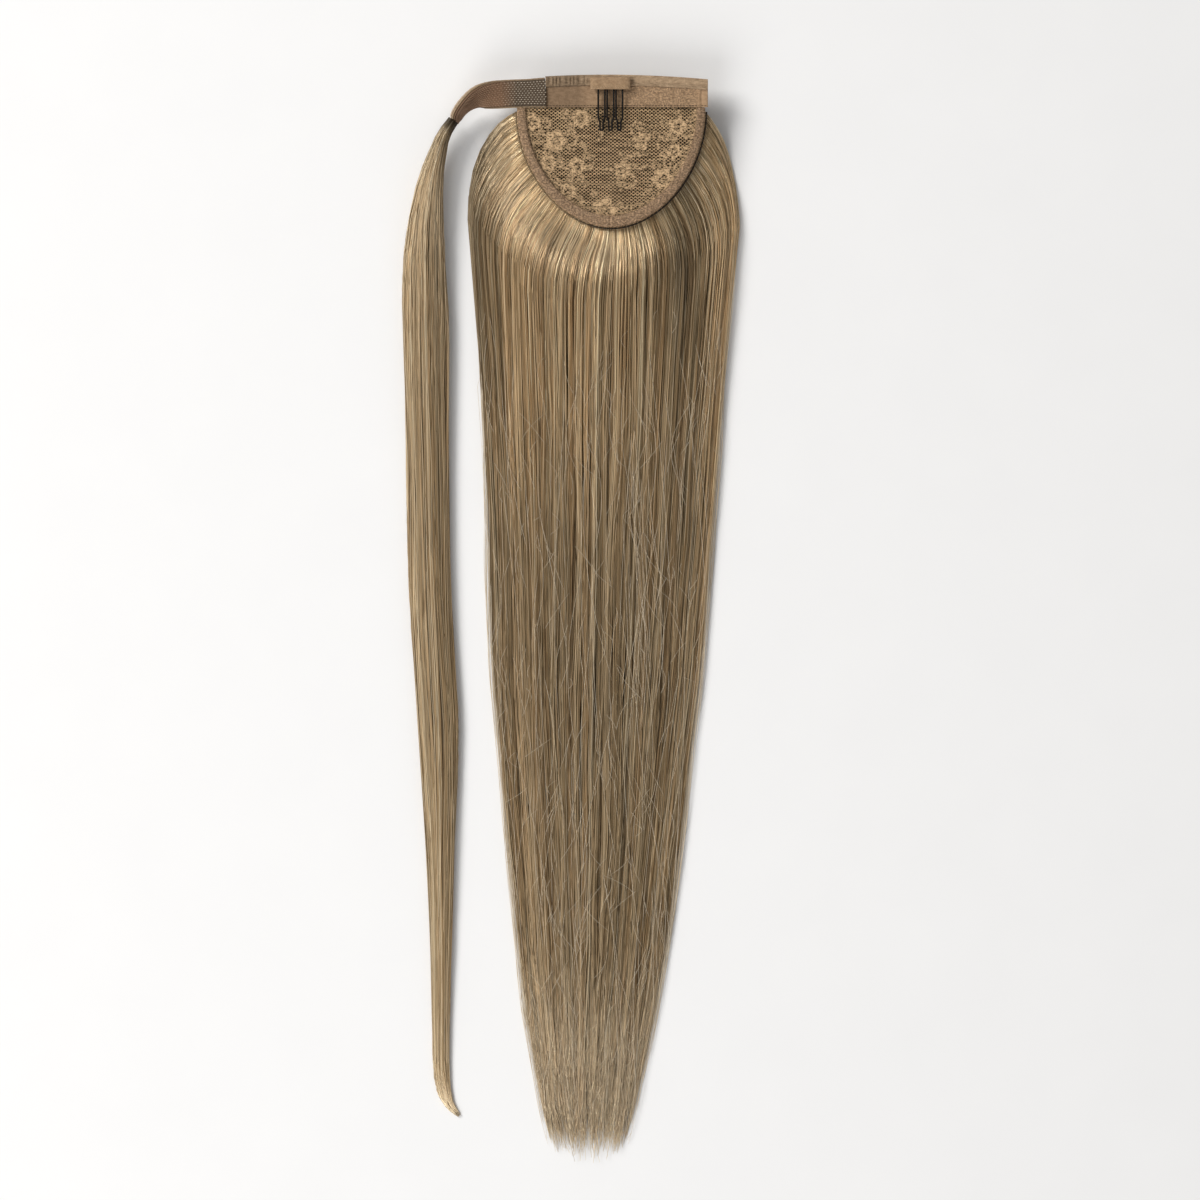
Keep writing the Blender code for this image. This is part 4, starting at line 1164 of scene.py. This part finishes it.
def rim_binding(finish):
    """The tape folded over the lace's rim, with the small pleats that turn it round the curve."""
    half = BINDING_HALF_HEIGHT

    def place(across, along):
        turn = (across * 2 - 1) * 1.024
        front = np.cos(np.clip(turn, -1, 1) * np.pi / 2) ** 2
        width = BINDING_SIDE_WIDTH + (BINDING_FRONT_WIDTH - BINDING_SIDE_WIDTH) * front
        over = np.clip(along / 0.45, 0, 1)
        fold = np.clip((along - 0.45) / 0.25, 0, 1) * np.pi
        under = np.clip((along - 0.7) / 0.3, 0, 1)
        inward = np.where(
            along < 0.45,
            width + (half - width) * over,
            np.where(along <= 0.7, half - half * np.sin(fold), half + (BINDING_UNDER_WIDTH - half) * under),
        )
        level = np.where(along < 0.45, half, np.where(along <= 0.7, half * np.cos(fold), -half))
        pleat = np.exp(-(((turn + 0.02) / 0.05) ** 2)) * np.sin(turn * 190) * 0.5
        pucker = 0.13 * np.sin(turn * 74 + 2 * np.sin(turn * 17)) + 0.45 * pleat
        puff = np.sin(over * np.pi) * (along < 0.45) * 0.35
        edge, _ = rim(turn, inward + BINDING_THICK / 2)
        return edge[..., 0], edge[..., 1], LACE_LEVEL + level + puff + pucker * (along < 0.6)

    tape = cloth("bound_rim", 260, 22, place, BINDING_THICK, finish)
    own(tape, "tape", "rim_binding")
    around, _ = rim(np.linspace(-1, 1, 200))
    length = float(np.linalg.norm(np.diff(around, axis=0), axis=1).sum())
    return tape, (length * MM, BINDING_TAPE_WIDTH * MM)


def weft_track(finish):
    """The weft's sewn edge just outside the binding: two plies of dark thread twisted together.

    Their dark colour on the right is partly painted shadow along the rim.
    """
    edge, outward = rim(np.linspace(-0.995, 0.995, WEFT_STATIONS))
    paths = []
    for ply in range(2):
        phase = np.arange(WEFT_STATIONS) * 0.42 + ply * np.pi
        off = WEFT_OFF_RIM + 0.2 * np.cos(phase)
        level = WEFT_LEVEL + 0.25 * np.sin(phase)
        paths.append(np.concatenate([edge + outward * off[:, None], level[:, None]], axis=1))
    half_widths = np.full((2, WEFT_STATIONS), WEFT_PLY)
    plies = tubes("weft_thread", np.stack(paths), half_widths, round_section(6), finish)
    own(plies, "thread", "weft_track")


def stitches(name, middles, directions, length, radius, finish, slot):
    """Many sewn stitches as one mesh: each a short rounded thread whose ends dip into the cloth."""
    count = len(middles)
    gone = np.array([-1.0, -0.8, -0.35, 0.35, 0.8, 1.0])
    dips = np.array([-1.3, -0.5, 0.1, 0.1, -0.5, -1.3]) * radius
    thick = np.array([0.3, 0.85, 1.0, 1.0, 0.85, 0.3]) * radius
    length = np.broadcast_to(np.asarray(length, float), (count,))
    paths = middles[:, None, :] + directions[:, None, :] * (gone[None, :] * length[:, None] / 2)[..., None]
    paths[:, :, 2] += dips
    widths = np.tile(thick, (count, 1))
    own(tubes(name, paths, widths, round_section(6), finish), slot)


def top_band(finish):
    """The flat satin band sewn over the lace, with the fold near its right end."""

    def place(across, along):
        x = BAND_LEFT + (BAND_RIGHT - BAND_LEFT) * across
        high = straight_edge(x) - CASING_HEIGHT + 0.1
        y = BAND_BOTTOM_Y + (high - BAND_BOTTOM_Y) * along
        ripple = 0.10 * np.sin(x * 0.55 + np.sin(x * 0.21) * 2) * np.sin(along * np.pi)
        fold = 0.28 * np.exp(-(((x - BAND_FOLD_X) / 0.5) ** 2))
        fold -= 0.2 * np.exp(-(((x - BAND_FOLD_X - 1.3) / 0.5) ** 2))
        return x, y, BAND_LEVEL + ripple + fold

    band = cloth("satin_band", 220, 22, place, BAND_THICK, finish)
    own(band, "tape", "top_band")
    return band, ((BAND_RIGHT - BAND_LEFT) * MM, BAND_TAPE_WIDTH * MM)


def elastic_casing(finish):
    """The casing over the elastic: gathered left of the comb, smooth on the right, with piped edges."""
    half = CASING_HEIGHT / 2
    turns = (0, 0.1, 0.2, 0.27, 0.73, 0.8, 0.9, 1)
    turns_y = (-1.7, -half, -half, -2.3, 2.3, half, half, 1.7)
    turns_z = (-0.85, -0.75, 0.1, 0.75, 0.75, 0.1, -0.75, -0.85)

    def place(across, along):
        x = BAND_LEFT + (BAND_RIGHT - BAND_LEFT) * across
        path_y, path_z = np.interp(along, turns, turns_y), np.interp(along, turns, turns_z)
        gathered = ease((CASING_GATHERED_TO_X - x) / 8)
        ruche = np.sin(x * 2.6 + 1.6 * np.sin(x * 0.7)) * 0.36 * gathered + 0.05 * np.sin(x * 6.1)
        crown = np.clip(1 - (path_y / half) ** 2, 0, 1)
        piping = 0.16 * np.exp(-(((np.abs(path_y) - 2.25) / 0.22) ** 2)) * (path_z > 0.4)
        z = CASING_TOP - 1.0 + path_z * 0.8 + (ruche * crown + piping) * (path_z > 0)
        return x, straight_edge(x) - half + path_y, z

    casing = cloth("ruched_casing", 300, 34, place, CASING_THICK, finish)
    own(casing, "casing", "elastic_casing")
    return casing, ((BAND_RIGHT - BAND_LEFT) * CASING_FULLNESS * MM, CASING_TAPE_WIDTH * MM)


def comb_tab(finish):
    """The pocket over the comb's back: one strip of tape folded over at the top and sewn at its sides."""

    def place(across, along):
        x = TAB_MIDDLE_X + TAB_WIDTH * (across - 0.5)
        fold = np.clip((along - 0.44) / 0.12, 0, 1) * np.pi
        reach = np.where(along < 0.44, along / 0.44, np.where(along > 0.56, (1 - along) / 0.44, 1.0))
        side = 1 - np.abs(across * 2 - 1) ** 10
        gap = 0.35 + (TAB_HALF_GAP - 0.35) * side
        y = TAB_BOTTOM_Y + 0.35 + (TAB_HEIGHT - 1.6) * reach + 1.0 * np.sin(fold)
        z = TAB_MIDDLE_LEVEL - gap * np.cos(fold)
        wobble = 0.07 * np.sin(x * 1.3 + reach * 3) * np.sin(reach * np.pi)
        return x, y, z + wobble

    tab = cloth("comb_pocket", 90, 50, place, TAB_THICK, finish)
    own(tab, "tape", "comb_tab")
    return tab, (TAB_WIDTH * MM, TAB_TAPE_LENGTH * MM)


def comb_path():
    """The bent wire from above, down and up each tooth, from the comb's middle and the tab's lower edge."""
    tip_y = -(TOOTH_REACH - TOOTH_TIP_HALF_WIDTH - WIRE / 2)
    turn_radius = (TOOTH_PITCH - 2 * TOOTH_HALF_WIDTH) / 2
    back_y = COMB_SEAT - turn_radius
    side = [(TOOTH_HALF_WIDTH, y) for y in np.linspace(back_y, -TOOTH_NECK_START, 12)]
    for share in np.linspace(0, 1, 9)[1:]:
        half = TOOTH_HALF_WIDTH + (TOOTH_TIP_HALF_WIDTH - TOOTH_HALF_WIDTH) * float(ease(share))
        side.append((half, -TOOTH_NECK_START + (TOOTH_NECK_START - TOOTH_NECK_END) * share))
    side.append((TOOTH_TIP_HALF_WIDTH, tip_y))
    tip = [
        (-TOOTH_TIP_HALF_WIDTH * math.cos(angle), tip_y - TOOTH_TIP_HALF_WIDTH * math.sin(angle))
        for angle in np.linspace(0, math.pi, 13)[1:-1]
    ]
    tooth = [(-half, y) for half, y in side] + tip + list(reversed(side))
    path = []
    for number in range(TEETH):
        middle = (number - (TEETH - 1) / 2) * TOOTH_PITCH
        path += [(middle + x, y) for x, y in tooth]
        if number < TEETH - 1:
            turn = middle + TOOTH_PITCH / 2
            path += [
                (turn - turn_radius * math.cos(angle), back_y + turn_radius * math.sin(angle))
                for angle in np.linspace(0, math.pi, 10)[1:-1]
            ]
    return np.array(path)


def wire_comb(finish):
    """The comb: one black lacquered wire."""
    path = comb_path()
    level = COMB_LEVEL - COMB_DROP * ease(-path[:, 1] / TOOTH_REACH)
    points = joined(TAB_MIDDLE_X + path[:, 0], TAB_BOTTOM_Y + path[:, 1], level)
    half_widths = np.full((1, len(points)), WIRE / 2 + LACQUER)
    own(tubes("comb_wire", points[None], half_widths, round_section(12), finish), "comb_wire", "wire_comb")


def strap_frame(places):
    """Middle, width direction, normal and half width of the strap's tape at places along its table."""
    last = len(STRAP) - 1
    x, y, z, width, roll = read_table(STRAP, places)
    x = x + 10.3 * np.clip(-places, 0, None)
    forward = plan_heading(STRAP, np.maximum(0, places - 0.2), np.minimum(last, places + 0.2))
    side = joined(forward[..., 1], -forward[..., 0], 0.0)
    up = np.array((0.0, 0.0, 1.0))
    angle = np.radians(roll)[..., None]
    wide = side * np.cos(angle) + up * np.sin(angle)
    normal = up * np.cos(angle) - side * np.sin(angle)
    gathered = 1 - 0.62 * ease(np.clip(places - (last - 1.1), 0, None) / 1.1)
    return joined(x, y, z), wide, normal, width / 2 * gathered * (1 + 0.05 * ease(1 - places))


def strap_sheet(name, columns, run, share, lift, thickness, finish, ripple):
    """A tape that follows the strap over a run of its table.

    It is share of the strap's width wide, and lift and ripple take it off the strap's middle.
    """

    def place(across, along):
        middle, wide, normal, half = strap_frame(run[0] + across * (run[1] - run[0]))
        sideways = (1 - along * 2) * half * share
        raised = lift + ripple(across, along)
        point = middle + wide * sideways[..., None] + normal * raised[..., None]
        return point[..., 0], point[..., 1], point[..., 2]

    return cloth(name, columns, STRAP_SHEET_ROWS, place, thickness, finish)


def strap(tape_cloth, pile, hooks, hook_thread, dark_thread):
    """The strap's backing tape, the soft loop pile behind it, its hook tape and the small hooks."""
    last = len(STRAP) - 1

    def crimp(across, along):
        return 0.06 * np.sin(across * 90 + along * 8)

    def tufts(across, along):
        tufted = 0.1 * np.sin(across * 70 + along * 30) * np.sin(along * 40)
        return tufted + 0.4 * (1 - ease(across * 4))

    def crown(across, along):
        return 0.04 * np.sin(across * 160) - 0.25 * np.abs(along * 2 - 1) ** 12

    backing = strap_sheet("strap_backing", 130, (-0.05, last), 1.04, 0.05, 0.8, tape_cloth, crimp)
    own(backing, "strap", "strap_tape")
    loops = strap_sheet("loop_pile", 90, (2.6, last - 0.1), 0.98, -1.15, 0.85, pile, tufts)
    own(loops, "strap", "strap_tape")
    run = (-0.06, last)
    tape = strap_sheet("hook_strip", 130, run, HOOK_TAPE_SHARE, HOOK_TAPE_LIFT, 0.6, hooks, crown)
    own(tape, "hooks", "hook_tape")
    dice = np.random.default_rng(47)
    rows = np.linspace(0.02, last - 0.3, 46)
    columns = np.linspace(-0.84, 0.84, 11)
    places, across = [grid.ravel() for grid in np.meshgrid(rows, columns, indexing="ij")]
    places = places + 0.04 * np.where(np.round(across * 6) % 2 > 0.5, 1, -1)
    places = places + dice.normal(0, 0.008, len(places))
    middle, wide, normal, half = strap_frame(places)
    foot = middle + wide * (across * half * HOOK_TAPE_SHARE)[:, None] + normal * (HOOK_TAPE_LIFT + 0.25)
    lean = np.cross(wide, normal)
    bends = ((0.0, -0.1), (0.05, 0.35), (0.28, 0.62), (0.55, 0.6), (0.68, 0.35))
    paths = np.stack([foot + lean * out * 0.9 + normal * rise for out, rise in bends], axis=1)
    small = np.full(paths.shape[:2], 0.16)
    hook_rows = own(tubes("hook_rows", paths, small, round_section(4), hook_thread), "hooks")
    rows = np.linspace(0.0, last - 0.4, 50)
    for name, edge in (("hook_tape_upper_stitches", -0.95), ("hook_tape_lower_stitches", 0.93)):
        middle, wide, normal, half = strap_frame(rows)
        ahead = strap_frame(rows + 0.05)[0] - middle
        ahead /= np.linalg.norm(ahead, axis=1, keepdims=True)
        line = middle + wide * (edge * half * HOOK_TAPE_SHARE)[:, None] + normal * (HOOK_TAPE_LIFT + 0.2)
        stitches(name, line, ahead, 0.75, 0.16, dark_thread, "thread")


def sewn_lines(beige, dark):
    """The stitches that show along the band, the casing, the tab and the rim."""
    x = np.arange(BAND_LEFT + 1, BAND_RIGHT - 0.5, 1.7)
    along_x = joined(np.ones_like(x), 0.0, 0.0)
    band_line = joined(x, BAND_BOTTOM_Y + 0.8, BAND_SEAM_LEVEL)
    stitches("band_stitches", band_line, along_x, 1.25, 0.13, dark, "thread")

    casing_line = joined(x, straight_edge(x) - CASING_HEIGHT - 0.15, CASING_SEAM_LEVEL)
    stitches("casing_stitches", casing_line, along_x, 1.3, 0.14, dark, "thread")

    reach = TAB_WIDTH / 2 - 1
    zig_x = np.linspace(TAB_MIDDLE_X - reach, TAB_MIDDLE_X + reach, TAB_STITCHES)
    zig = joined(zig_x, TAB_BOTTOM_Y + 1.5, TAB_SEAM_LEVEL)
    slant = np.where(np.arange(TAB_STITCHES) % 2, 1.0, -1.0)
    heading = joined(0.8, slant * 0.6, 0.0)
    stitches("tab_stitches", zig, heading, 1.7, 0.15, beige, "tape")

    turns = np.linspace(-0.96, 0.96, RIM_STITCHES)
    front = np.cos(turns * np.pi / 2) ** 2
    inset = BINDING_SIDE_WIDTH + (BINDING_FRONT_WIDTH - BINDING_SIDE_WIDTH) * front - 0.9
    edge, outward = rim(turns, inset)
    around = joined(-outward[:, 1], outward[:, 0], 0.0)
    middles = joined(edge[:, 0], edge[:, 1], RIM_SEAM_LEVEL)
    stitches("rim_stitches", middles, around, 1.1, 0.13, beige, "tape")


def soft_lamp(name, size, energy, tint, place):
    """A round soft lamp that shines on the hairpiece's middle. Size and place are in metres."""
    light = bpy.data.lights.new(name, "AREA")
    light.shape = "DISK"
    light.size = size
    light.energy = energy
    light.color = tint
    lamp = bpy.data.objects.new(name, light)
    lamp.location = place
    aim = Vector((0.02, 0.0, 0.0)) - lamp.location
    lamp.rotation_euler = aim.to_track_quat("-Z", "Y").to_euler()
    bpy.context.scene.collection.objects.link(lamp)


def studio():
    """A pale floor, two soft lamps and a camera straight above.

    The key light comes from the upper left and the weaker fill light from the lower left.
    """
    bpy.ops.mesh.primitive_plane_add(size=6.0)
    floor = bpy.context.object
    floor.name = "floor"
    paper = Finish("pale_paper", Roughness=0.75, Specular_IOR_Level=0.2)
    x, y, _ = paper.place_mm()
    grain = paper.noise(paper.vector(x, y), 0.02, 3.0)
    tint = paper.ramp(grain, (0.0, (0.885, 0.885, 0.89)), (1.0, (0.915, 0.915, 0.918)))
    floor.data.materials.append(paper.set(Base_Color=tint))

    view = bpy.context.scene.view_settings
    view.view_transform = "Standard"
    world = bpy.data.worlds.new("studio")
    bpy.context.scene.world = world
    world.use_nodes = True
    world.node_tree.nodes["Background"].inputs[0].default_value = (1.0, 0.99, 0.975, 1.0)
    world.node_tree.nodes["Background"].inputs[1].default_value = 0.35

    soft_lamp("key", 1.9, 130.0, (1.0, 0.985, 0.96), (-2.75, 1.85, 2.85))
    soft_lamp("fill", 2.4, 44.0, (1.0, 1.0, 1.0), (-1.5, -1.9, 2.0))

    lens = bpy.data.cameras.new("camera")
    lens.lens = lens.sensor_width * (VIEW_HEIGHT - VIEW_LEVEL) / VIEW_WIDTH
    lens.clip_end = 50.0
    camera = bpy.data.objects.new("camera", lens)
    camera.location = (VIEW_MIDDLE[0] * MM, VIEW_MIDDLE[1] * MM, VIEW_HEIGHT * MM)
    bpy.context.scene.collection.objects.link(camera)
    bpy.context.scene.camera = camera


def main():
    """Every piece of the hairpiece, then the studio."""
    hair = hair_finish("ash_blonde_hair", HAIR_FAMILIES)
    packed = mass_finish()
    tape = tape_finish("beige_tape", (0.32, 0.2, 0.108), (0.47, 0.315, 0.188))
    satin = tape_finish("beige_satin", (0.33, 0.205, 0.112), (0.5, 0.325, 0.19), 0.6, 0.15, 0.58, 0.06, 0.34)
    rim_cloth = tape_finish("rim_tape", (0.32, 0.2, 0.112), (0.52, 0.345, 0.215), 0.5, 0.0, 0.9, 0.55)
    casing_cloth = tape_finish("casing_cloth", (0.29, 0.192, 0.112), (0.56, 0.395, 0.25), 0.7, 0.0, 0.56)
    beige_thread = thread_finish("beige_thread", (0.3, 0.2, 0.11), (0.55, 0.4, 0.25))
    dark_thread = thread_finish("dark_thread", (0.02, 0.013, 0.008), (0.07, 0.045, 0.025))
    strap_cloth = tape_finish("strap_tape", (0.3, 0.2, 0.12), (0.45, 0.33, 0.21))

    hair_fall(hair, packed)
    tucked_hair(hair)
    wrap_lock(hair, packed)
    pale_hair = loose_hair_finish()
    flyaways(pale_hair)
    edge_wisps(pale_hair)
    lace, lace_flat, lace_area = lace_panel(lace_finish())
    binding, binding_flat = rim_binding(rim_cloth)
    weft_track(weft_finish())
    band, band_flat = top_band(satin)
    casing, casing_flat = elastic_casing(casing_cloth)
    tab, tab_flat = comb_tab(tape)
    wire_comb(wire_finish())
    strap(strap_cloth, pile_finish(), hook_tape_finish(), hook_thread_finish(), dark_thread)
    sewn_lines(beige_thread, dark_thread)

    studio()


main()
